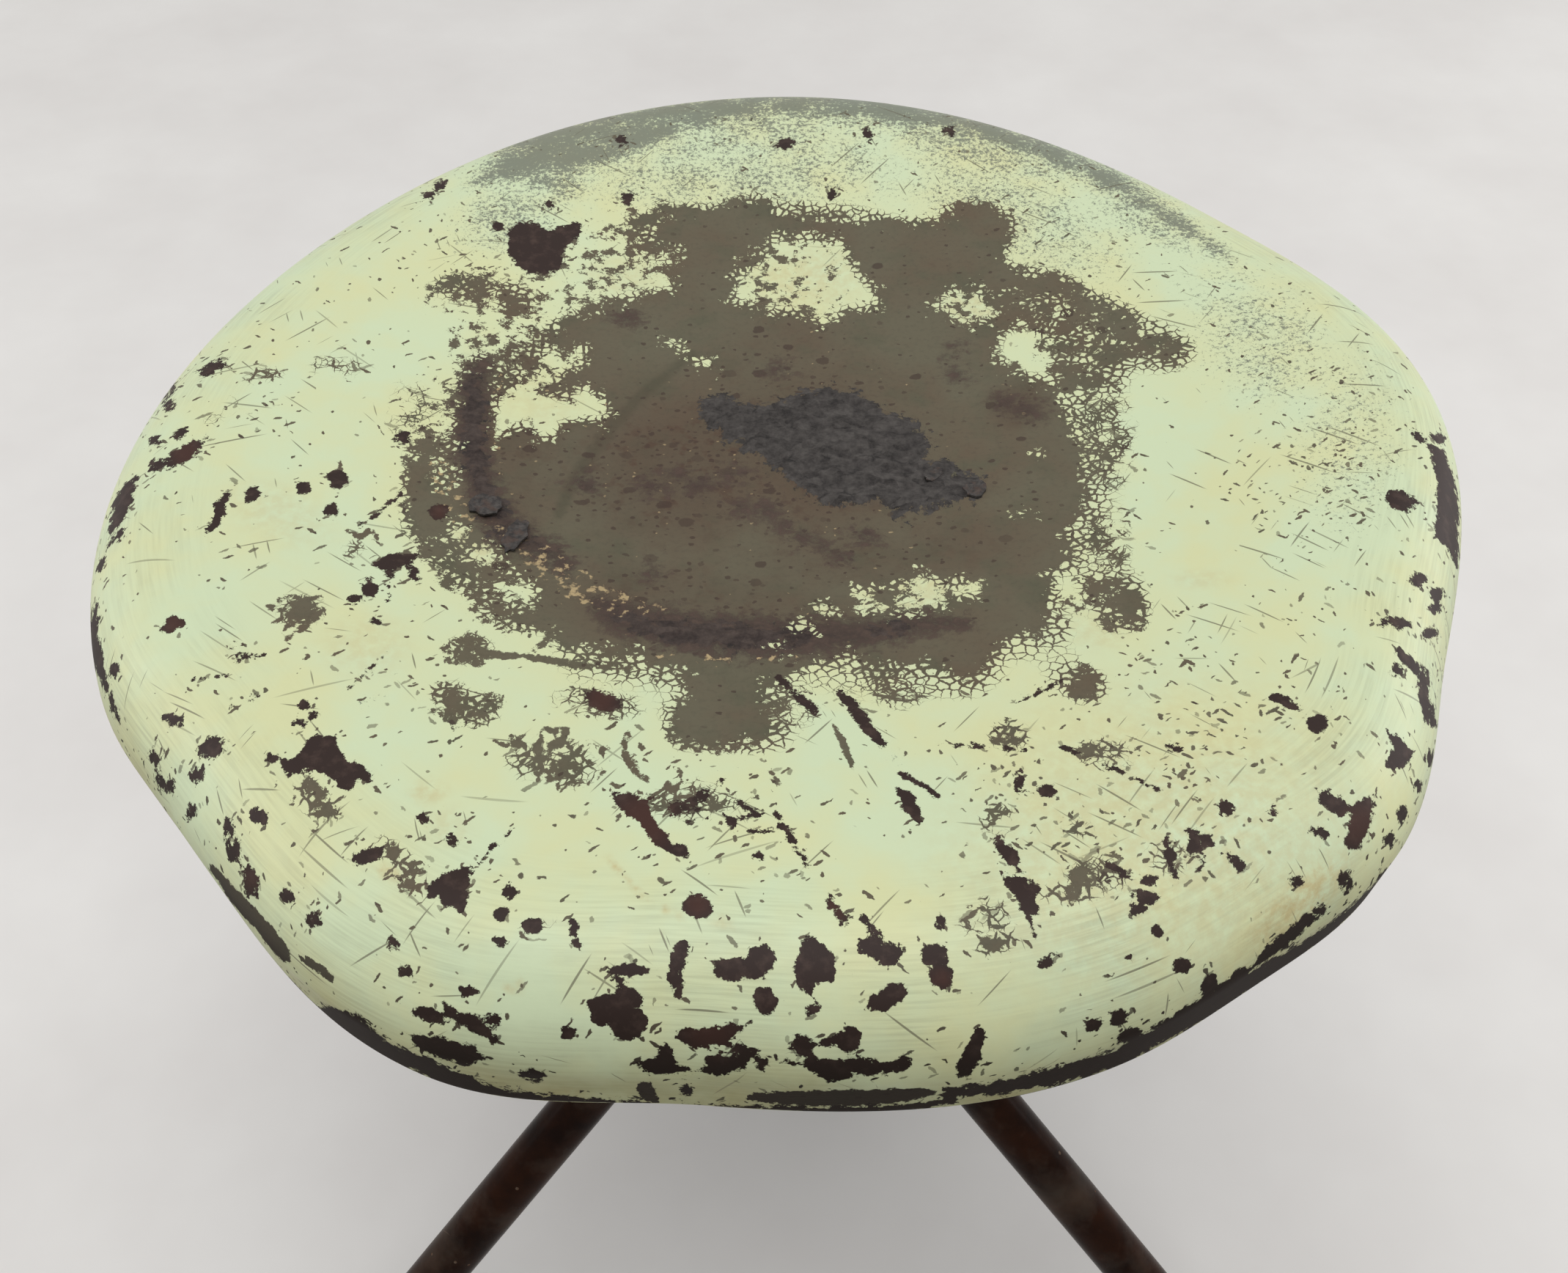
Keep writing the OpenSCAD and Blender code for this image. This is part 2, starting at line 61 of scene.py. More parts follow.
# Seat, in millimetres, as its solid is made
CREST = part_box("seat_pan")[1][2] / MM
SEAT_R = 182
RIM_W = 25
ROLL_H = 27
SKIRT_H = 41
SKIRT_LEAN = 2
CURL_W = 6
CURL_DROP = 3.6
LIP_ROUND = 0.5
DISH_DEPTH = 13
DISH_POWER = 1.5
FADE_FROM = 0.6
SHEET_T = 2
CREST_R = SEAT_R - RIM_W
# Beaten outline: bearing in degrees from +X, and reach beyond the mean radius
LOBES = [
    (12, 4), (40, -4), (90, 7), (152, -5), (205, 2), (219, -1), (245, 7), (265, -2), (292, 2), (304, 0.5),
    (316, 2.5), (338, -6.5),
]

# Rings of the seat's mesh along its section, fewer on the underside, and steps round it
DISH_RINGS = 94
ROLL_RINGS = 26
SKIRT_RINGS = 7
CURL_RINGS = 6
INSIDE_DISH_RINGS = 12
INSIDE_ROLL_RINGS = 8
INSIDE_SKIRT_RINGS = 2
SEAT_STEPS = 600
# Points closer than this are one, and a point closer than this to the axis has no bearing, in metres
MERGE = 1e-7
AXIS = 1e-6

# Wear of the seat, as places in the photograph, in its pixels
PX_PER_MM = 4.5
# A field of the wear is kept this far from its edge, in millimetres
FIELD_REACH = 16
# Stand-ins for a place outside every shape, and for a distance beyond any other
FAR_OUTSIDE = -99.0
FAR = 1e9

# Middle of the seat, where the enamel is gone down to the olive primer
WORN = [
    (560, 612), (590, 600), (622, 608), (628, 560), (632, 520), (655, 497), (690, 505), (735, 462),
    (757, 444), (786, 430), (821, 416), (857, 405), (918, 398), (921, 362), (890, 345), (875, 325),
    (860, 300), (890, 294), (905, 280), (925, 284), (975, 287), (1000, 275), (1040, 270), (1060, 290),
    (1140, 300), (1211, 305), (1284, 303), (1290, 288), (1311, 280), (1345, 280), (1376, 295), (1384, 307),
    (1376, 330), (1364, 349), (1384, 368), (1441, 375), (1468, 387), (1495, 406), (1529, 421), (1563, 452),
    (1560, 480), (1548, 475), (1529, 490), (1510, 517), (1470, 532), (1440, 540), (1452, 574), (1479, 613),
    (1475, 643), (1478, 690), (1450, 728), (1470, 750), (1433, 778), (1426, 824), (1433, 854), (1387, 870),
    (1357, 885), (1326, 923), (1273, 905), (1211, 910), (1165, 895), (1097, 905), (1070, 920), (1035, 935),
    (1054, 984), (1051, 1004), (1020, 1011), (979, 1019), (929, 1015), (911, 997), (929, 961), (946, 944),
    (918, 922), (893, 904), (796, 890), (750, 858), (700, 854), (671, 840), (657, 826), (621, 790),
    (586, 758), (556, 715), (552, 680),
]
# Enamel left standing inside the worn middle
ISLANDS = [
    [(679, 537), (700, 523), (729, 505), (735, 470), (786, 470), (807, 480), (786, 501), (764, 516),
     (750, 534), (771, 541), (796, 523), (821, 537), (839, 566), (821, 576), (768, 580), (757, 601),
     (729, 598), (714, 580), (675, 605), (668, 587), (671, 562)],
    [(993, 401), (1007, 372), (1040, 350), (1058, 322), (1105, 316), (1154, 327), (1162, 356), (1185, 383),
     (1205, 412), (1188, 421), (1154, 425), (1123, 444), (1097, 429), (1046, 423), (1015, 418)],
    [(1270, 420), (1290, 395), (1310, 391), (1330, 393), (1345, 408), (1376, 432), (1360, 437), (1335, 441),
     (1315, 444), (1290, 430)],
    [(1376, 446), (1395, 452), (1440, 460), (1480, 440), (1496, 445), (1480, 465), (1455, 475), (1440, 500),
     (1445, 527), (1420, 522), (1395, 513), (1372, 497)],
    [(1154, 812), (1165, 797), (1192, 808), (1215, 814), (1230, 793), (1253, 775), (1273, 787), (1296, 800),
     (1326, 783), (1341, 793), (1338, 817), (1303, 818), (1284, 829), (1250, 842), (1215, 832), (1173, 840)],
    [(1102, 832), (1112, 820), (1130, 822), (1146, 835), (1128, 843), (1108, 842)],
    [(1081, 855), (1095, 847), (1116, 853), (1112, 863), (1090, 865)],
    [(636, 752), (650, 740), (676, 746), (686, 765), (668, 780), (645, 770)],
    [(668, 800), (690, 786), (725, 790), (737, 812), (728, 831), (700, 830), (680, 820)],
    [(604, 722), (622, 711), (646, 720), (640, 740), (618, 745)],
]
# Ovals: a place, two half sizes and, unless it is 0, a turn in degrees
ISLAND_SPOTS = [
    (916, 467, 11, 8), (957, 495, 14, 7, 20), (830, 372, 20, 13), (870, 365, 24, 14, 10),
    (893, 388, 20, 10), (1440, 428, 46, 12, 20), (1395, 475, 40, 32), (1525, 468, 34, 14, 30),
    (845, 395, 18, 8), (905, 350, 14, 9), (600, 640, 12, 8, 30), (615, 660, 10, 6), (1065, 880, 9, 5),
    (1400, 700, 7, 5), (1420, 620, 6, 4),
]
# Patches outside the middle that are also worn to the primer
WORN_PATCHES = [
    [(1441, 440), (1468, 410), (1500, 405), (1540, 425), (1563, 455), (1600, 478), (1613, 492), (1575, 492),
     (1545, 480), (1520, 500), (1480, 500), (1455, 470)],
    [(1487, 801), (1529, 793), (1548, 802), (1563, 824), (1560, 845), (1548, 853), (1514, 854), (1502, 831)],
    [(592, 942), (620, 938), (640, 950), (676, 958), (672, 978), (650, 985), (625, 978), (605, 960)],
]
WORN_SPOTS = [
    (636, 392, 28, 12), (701, 407, 20, 15, 20), (640, 885, 18, 11), (1477, 933, 24, 18, 10),
    (1377, 1003, 15, 10), (543, 1171, 18, 8, 45), (566, 1206, 8, 9), (420, 1074, 8, 7),
    (436, 1101, 15, 8, 20), (1463, 1217, 20, 7, -5), (1486, 1026, 9, 7), (1363, 1285, 14, 6, -20),
    (1590, 475, 22, 12, 20), (410, 831, 17, 11, -10), (1476, 1196, 12, 9, -40),
]

# Crisp strokes down to the primer, along the foot of the skirt, where they also stand for painted shade
# under the curled edge, and in nets: places with half widths
FOOT_STROKES = [
    [(287, 1181, 4), (305, 1202, 6), (320, 1223, 9), (339, 1243, 10), (357, 1262, 9), (373, 1282, 11),
     (388, 1302, 9), (393, 1311, 4)],
    [(411, 1305, 4), (425, 1314, 6), (440, 1324, 6), (454, 1336, 4)],
    [(1021, 1497, 5), (1067, 1497, 9), (1121, 1498, 11), (1178, 1497, 11), (1236, 1493, 9), (1274, 1489, 4)],
    [(880, 1486, 12), (895, 1502, 5)], [(739, 994, 3), (733, 1034, 4), (748, 1058, 4), (765, 1079, 3)],
    [(733, 1018, 4), (717, 1018, 3), (690, 1014, 4), (668, 1012, 2)],
    [(741, 1018, 3), (769, 1006, 5), (775, 993, 3)], [(733, 1037, 3), (757, 1018, 4), (781, 1010, 3)],
    [(757, 1053, 4), (788, 1041, 3), (832, 1037, 2)],
    [(749, 1049, 4), (781, 1030, 4), (804, 1010, 3), (814, 1014, 3), (820, 1026, 3), (831, 1018, 2)],
    [(753, 1041, 4), (765, 1057, 4), (773, 1073, 2)], [(784, 1053, 3), (786, 1073, 3), (794, 1075, 2)],
    [(800, 1071, 2), (826, 1051, 3)], [(725, 1041, 3), (733, 1057, 3), (741, 1067, 2)],
    [(741, 994, 4), (757, 998, 5), (769, 992, 3)],
    [(690, 1018, 2), (697, 1003, 3), (704, 1010, 3), (716, 1001, 2)], [(700, 1024, 2), (712, 1014, 3)],
    [(364, 828, 2), (389, 814, 3), (417, 817, 4), (443, 814, 2)],
    [(361, 828, 2), (387, 834, 3), (412, 842, 4), (446, 831, 2)],
    [(370, 853, 2), (389, 839, 3), (412, 825, 4), (434, 822, 2)],
    [(384, 871, 2), (390, 856, 3), (404, 845, 3)], [(415, 862, 2), (418, 850, 3), (426, 842, 3)],
    [(392, 873, 2), (412, 853, 3), (437, 842, 2)],
    [(468, 724, 2), (490, 730, 4), (508, 723, 3), (516, 735, 2)],
    [(486, 745, 2), (497, 728, 3), (504, 742, 2)], [(436, 648, 2), (458, 652, 4), (478, 653, 2)],
    [(461, 626, 3), (466, 640, 3), (455, 662, 3)], [(515, 764, 3), (540, 762, 6), (560, 752, 3)],
    [(527, 783, 3), (545, 775, 4)],
    [(614, 872, 3), (641, 878, 5), (664, 893, 6), (714, 895, 4), (741, 899, 5), (804, 910, 5)],
    [(727, 887, 3), (741, 878, 4), (754, 862, 4)], [(759, 876, 3), (772, 881, 4), (786, 887, 3)],
    [(634, 962, 3), (637, 971, 4), (641, 985, 3)], [(646, 969, 3), (659, 976, 4), (668, 989, 3)],
    [(659, 976, 3), (662, 964, 4), (675, 963, 3)],
    [(859, 996, 3), (852, 1012, 4), (852, 1026, 5), (859, 1044, 5)], [(868, 1012, 3), (877, 1021, 4)],
    [(861, 1030, 4), (870, 1050, 3)], [(868, 1057, 3), (883, 1063, 4)], [(922, 1046, 3), (929, 1057, 4)],
    [(906, 1075, 3), (913, 1066, 4), (917, 1078, 3)], [(922, 1080, 3), (929, 1069, 4)],
    [(981, 1102, 4), (990, 1087, 3)], [(972, 1102, 3), (988, 1096, 4)], [(965, 1091, 3), (972, 1107, 4)],
    [(1017, 1084, 3), (1035, 1087, 3)], [(834, 1069, 3), (845, 1073, 3)], [(836, 1121, 3), (843, 1112, 4)],
    [(1049, 1050, 3), (1062, 1069, 4)], [(1137, 989, 3), (1145, 1003, 5), (1153, 1021, 5), (1164, 1048, 3)],
]

# Dark scale in the middle, and the ring of rust where the support is welded on below
CRUST = [
    (985, 537), (1030, 555), (1080, 540), (1127, 528), (1165, 536), (1204, 555), (1234, 571), (1265, 590),
    (1273, 605), (1262, 624), (1299, 632), (1303, 643), (1338, 651), (1345, 666), (1326, 682), (1288, 690),
    (1250, 701), (1223, 709), (1219, 688), (1165, 692), (1116, 688), (1085, 665), (1058, 645), (1025, 617),
    (990, 600), (955, 570), (954, 548),
]
RUST_RING = [
    [(655, 500, 12), (645, 530, 19), (643, 570, 22), (646, 610, 22), (653, 650, 20), (666, 690, 21),
     (700, 733, 20), (755, 757, 15), (775, 775, 9)],
    [(812, 822, 9), (835, 838, 18), (870, 850, 22), (930, 862, 25), (1000, 868, 27), (1060, 870, 25),
     (1120, 868, 22), (1180, 866, 17), (1250, 852, 13), (1318, 850, 7)],
]
# Thicker scale on the ring, a dim arc inside it, spots of scale beside it, and loose flakes
RING_SCALE = [
    [(650, 512, 6), (645, 560, 13), (647, 610, 14), (655, 660, 12), (672, 700, 10)],
    [(838, 842, 5), (880, 854, 11), (940, 864, 16), (1010, 872, 17), (1070, 872, 11), (1105, 868, 5)],
    [(1190, 862, 5), (1235, 856, 6)],
]
DIM_ARC = [(762, 700, 10), (785, 650, 11), (836, 580, 12), (885, 530, 11), (945, 483, 8)]
SCALE_SPOTS = [
    (891, 663, 13, 8), (1047, 697, 14, 9), (1094, 733, 10, 8), (952, 663, 17, 7), (1012, 692, 8, 5),
    (1072, 716, 9, 6), (1182, 732, 11, 8), (925, 650, 9, 5), (857, 433, 11, 7), (891, 779, 8, 6),
    (1003, 648, 9, 5), (1120, 745, 7, 5), (800, 660, 12, 8), (1150, 760, 8, 5), (1060, 505, 10, 6),
    (1302, 478, 7, 5), (1306, 510, 7, 5), (1370, 550, 12, 9), (1400, 560, 14, 8),
]
FLAKES = [(667, 691, 20, 14, 10), (700, 734, 30, 10, 12), (1331, 667, 14, 12, 0), (1277, 649, 8, 12, 0)]

# Lumps of the scale, in millimetres: their size, how far they stand up, and the ring's share of that
LUMP = 4.5
SCALE_LIFT = 1.4
RING_LIFT = 0.5
# Height of a lump as a share: its mean, its least, the swing of the lumps, and swing and pitch of finer ones
LUMP_MEAN = 0.5
LUMP_LEAST = 0.1
LUMP_SWING = 0.5
FINE_SWING = 0.35
FINE_PITCH = 2.7
# Rise of the scale at its edge: its width in millimetres, and the share already reached on the edge
CRUST_RISE = (1.2, 0.0)
RING_RISE = (3, 0.4)

# Loose flakes, in millimetres: thickness, how far the free edge curls up, and how deep they are set
FLAKE_THICK = 0.6
FLAKE_CURL = 1.6
FLAKE_SUNK = 0.2
# Shape of a flake: its corners, how uneven they are, and its width beside that in the photograph
FLAKE_CORNERS = 18
FLAKE_UNEVEN = (0.78, 1.1)
FLAKE_INSET = 0.3
FLAKE_WIDER = 1.3
# Curl of a flake: how far its line is turned, and how late it lifts
FLAKE_SKEW = 0.2
FLAKE_POWER = 1.5
FLAKE_SEED = 5

# Chips down to the old dark paint
CHIPS = [
    [(693, 313), (705, 303), (728, 303), (745, 313), (790, 303), (796, 311), (785, 325), (768, 345),
     (765, 370), (735, 375), (705, 365), (695, 345)],
    [(217, 860), (221, 851), (235, 838), (252, 843), (255, 849), (246, 858), (232, 865)],
    [(361, 1040), (371, 1026), (389, 1035), (404, 1031), (414, 1014), (432, 1001), (462, 1006), (457, 1019),
     (468, 1028), (471, 1040), (493, 1040), (516, 1058), (507, 1069), (486, 1064), (475, 1081), (464, 1080),
     (457, 1064), (429, 1051), (400, 1053), (391, 1064), (387, 1046), (371, 1040)],
    [(579, 1214), (587, 1203), (607, 1192), (625, 1183), (645, 1181), (641, 1210), (639, 1231), (629, 1248),
     (618, 1233), (605, 1237), (598, 1222), (586, 1224)],
    [(598, 1365), (614, 1372), (639, 1385), (661, 1381), (662, 1399), (675, 1412), (688, 1424), (671, 1421),
     (646, 1408), (625, 1394), (607, 1385)],
    [(557, 1410), (579, 1410), (593, 1415), (625, 1421), (646, 1426), (663, 1444), (643, 1453), (611, 1448),
     (579, 1435), (564, 1426)],
    [(832, 1082), (868, 1084), (884, 1088), (884, 1101), (895, 1124), (910, 1141), (918, 1151), (937, 1153),
     (945, 1164), (937, 1170), (914, 1164), (899, 1155), (882, 1141), (872, 1120), (849, 1109), (840, 1097)],
    [(972, 1323), (977, 1310), (1002, 1306), (1014, 1312), (1023, 1293), (1042, 1289), (1062, 1304),
     (1063, 1315), (1041, 1329), (1006, 1340), (977, 1335)],
    [(1094, 1277), (1111, 1281), (1132, 1289), (1144, 1308), (1134, 1342), (1115, 1342), (1102, 1356),
     (1087, 1346), (1083, 1323), (1090, 1304)],
    [(1169, 1275), (1194, 1281), (1207, 1289), (1232, 1287), (1234, 1304), (1213, 1321), (1190, 1306),
     (1175, 1300)],
    [(798, 1365), (815, 1356), (842, 1354), (844, 1337), (861, 1346), (880, 1356), (872, 1369), (861, 1373),
     (882, 1384), (886, 1400), (872, 1413), (853, 1417), (838, 1417), (830, 1400), (807, 1396), (805, 1381)],
    [(918, 1413), (937, 1400), (964, 1404), (998, 1396), (1025, 1396), (1006, 1409), (991, 1419),
     (1018, 1426), (1046, 1438), (1006, 1440), (991, 1426), (945, 1430)],
    [(866, 1448), (893, 1444), (901, 1417), (918, 1430), (922, 1446), (945, 1455), (930, 1463), (884, 1467),
     (874, 1457)],
    [(1107, 1423), (1132, 1413), (1150, 1407), (1154, 1396), (1175, 1400), (1175, 1419), (1169, 1434),
     (1155, 1438), (1144, 1428), (1121, 1428)],
    [(1062, 1449), (1083, 1442), (1140, 1444), (1182, 1444), (1209, 1449), (1236, 1438), (1247, 1446),
     (1236, 1459), (1198, 1467), (1167, 1463), (1144, 1476), (1117, 1472), (1102, 1455)],
    [(1363, 1183), (1383, 1196), (1397, 1189), (1408, 1203), (1422, 1212), (1411, 1221), (1419, 1246),
     (1406, 1253), (1394, 1239), (1383, 1221), (1369, 1203)],
    [(1947, 605), (1968, 614), (1983, 650), (1990, 692), (1990, 740), (1989, 776), (1968, 740), (1956, 734),
     (1960, 692), (1959, 644)],
    [(1893, 994), (1914, 1009), (1932, 1027), (1920, 1040), (1902, 1052), (1890, 1046), (1899, 1022)],
    [(1794, 1075), (1818, 1084), (1836, 1093), (1848, 1105), (1830, 1114), (1809, 1108)],
    [(1848, 1093), (1878, 1081), (1869, 1117), (1866, 1138), (1848, 1165), (1836, 1147), (1842, 1117)],
]
# Small chips are drawn this much larger, because the mesh rounds them off
SPOT_GROWTH = 2.4
CHIP_SPOTS = [
    (288, 502, 17, 6, -25), (231, 553, 6, 5), (210, 601, 6, 5), (246, 591, 9, 3, -15),
    (253, 618, 28, 9, -36), (215, 632, 7, 4), (209, 639, 5, 4), (159, 733, 10, 4, -50),
    (344, 674, 9, 7, -30), (415, 664, 8, 6, -20), (461, 654, 12, 10, 30), (453, 694, 6, 10),
    (550, 598, 9, 8), (539, 767, 24, 9, -12), (504, 802, 8, 12, -10), (566, 785, 7, 5, 30),
    (483, 818, 6, 5), (157, 914, 6, 8, 20), (236, 980, 12, 8), (415, 962, 5, 4), (426, 973, 5, 4),
    (412, 989, 8, 5, 20), (510, 847, 6, 4), (599, 698, 11, 10), (289, 1019, 17, 12, -15), (211, 1033, 6, 9),
    (233, 1074, 5, 9), (218, 1067, 4, 8), (261, 1107, 6, 7), (270, 1057, 7, 9, 30), (352, 1112, 12, 8, 15),
    (311, 1126, 7, 9), (318, 1160, 8, 12, -10), (341, 1201, 9, 20, -12), (391, 1224, 8, 7),
    (425, 1255, 11, 8, -15), (500, 1167, 22, 9, -10), (695, 1214, 8, 8), (686, 1246, 8, 7),
    (727, 1264, 12, 9), (680, 1283, 7, 5), (616, 1146, 8, 6, 30), (577, 1117, 6, 5), (537, 1287, 6, 8),
    (552, 1322, 11, 6), (637, 1353, 10, 7), (586, 1385, 20, 8, 18), (677, 1390, 9, 7),
    (725, 1464, 15, 8, 15), (820, 955, 24, 11, 10), (952, 1235, 20, 13, 15), (857, 1321, 27, 6),
    (1044, 1365, 16, 16), (1209, 1361, 28, 13, -28), (1107, 1377, 12, 4, -25), (776, 1409, 8, 7),
    (987, 1451, 30, 11, -8), (1039, 1451, 8, 8), (1094, 1423, 15, 12), (1274, 1300, 17, 13),
    (1285, 1331, 14, 19, -15), (1285, 1260, 6, 11), (935, 1486, 7, 6), (1037, 1166, 6, 5),
    (1426, 1080, 12, 7, -10), (1567, 1201, 9, 7), (1561, 1222, 18, 7), (1552, 1239, 10, 7),
    (1626, 1156, 8, 9), (1770, 1203, 7, 6), (1613, 1317, 11, 9), (1797, 987, 12, 11), (1543, 1306, 5, 6),
    (1419, 1315, 7, 6), (1438, 1308, 4, 7), (1490, 1397, 9, 9), (1526, 1387, 12, 8, -20),
    (1540, 1412, 15, 6, -22), (1581, 1271, 8, 6, 20), (1651, 1346, 10, 14), (1694, 1331, 16, 9, -20),
    (1672, 1103, 9, 8), (1738, 1106, 7, 5), (1601, 1019, 8, 4, 10), (1911, 683, 18, 11, 15),
    (1935, 595, 9, 4, 30), (1962, 597, 8, 5, 20), (1935, 791, 8, 7), (1959, 812, 8, 8), (1957, 828, 7, 6),
    (1951, 864, 7, 5), (1903, 849, 17, 5, 8), (1905, 915, 7, 6), (1801, 1135, 9, 6), (1914, 1111, 5, 9, 10),
    (1896, 1144, 4, 8, 10), (1935, 1072, 3, 6), (1832, 1199, 4, 10, 20), (1842, 1204, 4, 10, 20),
    (1803, 1240, 7, 6), (1974, 926, 4, 7), (1950, 1033, 3, 8), (848, 191, 6, 6), (855, 271, 9, 6),
    (1071, 196, 10, 5), (1185, 183, 5, 6), (1295, 178, 5, 5), (1134, 264, 4, 5), (679, 308, 6, 5),
    (748, 281, 5, 4), (600, 253, 10, 3, -30), (586, 266, 9, 3, -30), (723, 1465, 8, 6, 20),
]
CHIP_STROKES = [
    [(185, 654, 5), (175, 665, 8), (168, 687, 12), (159, 705, 9), (152, 722, 4)],
    [(132, 825, 3), (127, 855, 6), (128, 885, 9), (134, 905, 8), (143, 930, 4), (155, 965, 3),
     (163, 985, 2)],
    [(224, 545, 3), (239, 524, 3)], [(141, 760, 3), (134, 780, 3)],
    [(313, 676, 4), (307, 682, 4), (301, 692, 7), (300, 708, 7), (291, 720, 5), (281, 727, 3)],
    [(317, 878, 4), (326, 898, 5), (361, 893, 3)], [(532, 782, 3), (530, 822, 1.5)],
    [(493, 718, 2), (520, 697, 2), (551, 670, 3)], [(264, 927, 1.5), (322, 921, 2)],
    [(312, 967, 2), (357, 945, 1.5)], [(311, 1149, 2), (327, 1131, 1.5)], [(475, 940, 1), (526, 894, 1.5)],
    [(643, 1186, 3), (670, 1158, 2), (703, 1128, 1)],
    # Along the lower left edge: partly chips, partly painted shade under the curled edge
    [(393, 1340, 3), (429, 1381, 5), (448, 1390, 19), (480, 1404, 21), (510, 1424, 15), (540, 1440, 11),
     (575, 1452, 12), (610, 1470, 13), (640, 1480, 12), (670, 1489, 8), (710, 1494, 7), (790, 1502, 5),
     (895, 1508, 5)],
    [(914, 1111, 4), (945, 1092, 5), (968, 1076, 4), (987, 1064, 3)],
    [(884, 1086, 4), (918, 1094, 3), (937, 1090, 3)], [(964, 1078, 3), (964, 1124, 2)],
    [(939, 1124, 3), (949, 1101, 4)], [(1002, 1120, 3), (1037, 1107, 5)],
    [(1006, 1092, 3), (1025, 1105, 4)], [(989, 1113, 4), (1000, 1126, 6)],
    [(1023, 1132, 3), (1058, 1134, 3)],
    [(1058, 1109, 3), (1071, 1132, 6), (1083, 1151, 4), (1102, 1183, 3)],
    [(1228, 1076, 6), (1240, 1095, 10), (1255, 1119, 5)],
    [(1228, 1055, 3), (1260, 1072, 4), (1280, 1086, 2)], [(1129, 1226, 6), (1150, 1254, 8)],
    [(930, 1293, 11), (920, 1323, 11), (922, 1354, 9)], [(1176, 1247, 5), (1197, 1279, 7)],
    [(782, 1260, 6), (786, 1292, 5)], [(1146, 943, 5), (1175, 980, 9), (1204, 1015, 6)],
    [(1062, 923, 4), (1110, 969, 6)], [(1392, 1046, 4), (1390, 1074, 8)],
    [(1727, 954, 3), (1747, 952, 7), (1772, 967, 4)], [(1361, 1146, 8), (1383, 1174, 9)],
    [(1406, 1253, 4), (1411, 1283, 2)], [(1511, 1178, 5), (1536, 1194, 6)],
    [(1626, 1133, 8), (1649, 1151, 7)], [(1592, 1146, 6), (1597, 1170, 8), (1604, 1203, 4)],
    [(1633, 1192, 3), (1654, 1142, 3)], [(1674, 1165, 7), (1692, 1183, 9)],
    [(1718, 1310, 7), (1740, 1292, 9), (1763, 1272, 10), (1786, 1252, 8)],
    [(1383, 958, 1.5), (1420, 942, 3), (1449, 930, 2)],
    [(1338, 1412, 9), (1330, 1436, 13), (1312, 1460, 10)],
    # This and the next strokes run along the skirt's lower edge: partly chips, partly painted shade under
    # the curled edge
    [(790, 1506, 4), (895, 1511, 4), (1021, 1513, 5), (1150, 1514, 5), (1236, 1510, 5), (1300, 1500, 6)],
    [(1540, 1432, 11), (1600, 1400, 13), (1647, 1371, 16), (1700, 1340, 13), (1760, 1306, 10),
     (1815, 1268, 8), (1860, 1228, 6), (1896, 1185, 4)],
    [(1290, 1491, 6), (1380, 1481, 10), (1470, 1460, 12), (1540, 1437, 12)],
    [(1908, 890, 6), (1935, 914, 8)], [(1944, 920, 6), (1941, 947, 7), (1953, 985, 7)],
    [(1272, 1015, 1.5), (1397, 1021, 2)], [(1445, 1017, 2), (1588, 1078, 1.5)],
]
# Chips that show a redder layer: place and size
RED_SPOTS = [
    (253, 618, 30), (237, 851, 25), (341, 1201, 25), (880, 1120, 60), (952, 1235, 25), (1140, 1241, 25),
    (1857, 1126, 45), (820, 955, 30), (1285, 1335, 20), (968, 1413, 50), (599, 698, 16),
]

# Soft zones: a place, two half sizes, a strength and, unless it is 0, a turn in degrees
RUST_ZONES = [
    (930, 640, 230, 150, 1.0), (1090, 620, 270, 180, 0.9, 8), (700, 560, 130, 170, 0.7),
    (960, 830, 330, 90, 0.6, 8), (1389, 552, 60, 45, 1.0), (1150, 760, 240, 60, 0.5),
    (760, 640, 90, 80, 0.4, 30), (1300, 740, 140, 60, 0.4), (1080, 470, 130, 50, 0.3),
    (700, 690, 60, 60, 0.5),
]
NET_ZONES = [
    (752, 1040, 90, 55, 1.0, 10), (815, 960, 95, 36, 0.8, 5), (650, 973, 32, 18, 0.9),
    (940, 1090, 110, 42, 0.9), (1080, 965, 60, 40, 1.0), (1510, 600, 60, 110, 0.9),
    (1510, 740, 55, 70, 1.0), (1220, 940, 75, 42, 0.9), (1517, 1028, 45, 36, 0.8, 30),
    (1363, 1120, 40, 34, 0.9), (1340, 1250, 60, 46, 0.8), (1500, 1190, 70, 42, 0.8),
    (1470, 1130, 34, 24, 0.7), (410, 836, 44, 34, 1.0), (480, 750, 32, 22, 0.7),
    (360, 512, 46, 20, 0.7, -10), (460, 500, 60, 30, 0.6), (1130, 310, 90, 18, 1.0, 4),
    (560, 560, 60, 70, 0.5), (1600, 1170, 60, 40, 0.6), (720, 1260, 70, 26, 0.5),
    (300, 560, 60, 30, 0.4, -20),
]
GRIT_ZONES = [
    (810, 350, 190, 115, 1.0, -10), (690, 470, 150, 120, 1.0), (1470, 460, 130, 90, 1.0, 20),
    (600, 590, 90, 130, 0.9), (1070, 380, 150, 90, 0.8), (650, 790, 130, 90, 0.8, 40),
    (1230, 815, 140, 50, 0.7), (640, 400, 110, 60, 0.8, -20), (1320, 415, 70, 50, 0.6),
    (850, 900, 200, 50, 0.6, 6), (1490, 820, 90, 60, 0.6), (560, 1190, 60, 40, 0.5),
    (640, 890, 70, 40, 0.8), (420, 1090, 60, 40, 0.6), (620, 965, 80, 40, 0.7, 10),
]
LACE_ZONES = [
    (1500, 640, 120, 240, 1.0), (1240, 930, 240, 70, 1.0, -8), (1050, 980, 90, 70, 0.9),
    (1110, 300, 140, 40, 0.8), (1560, 470, 90, 60, 0.7), (830, 930, 180, 60, 0.7, 10),
    (1420, 860, 90, 90, 0.8),
]
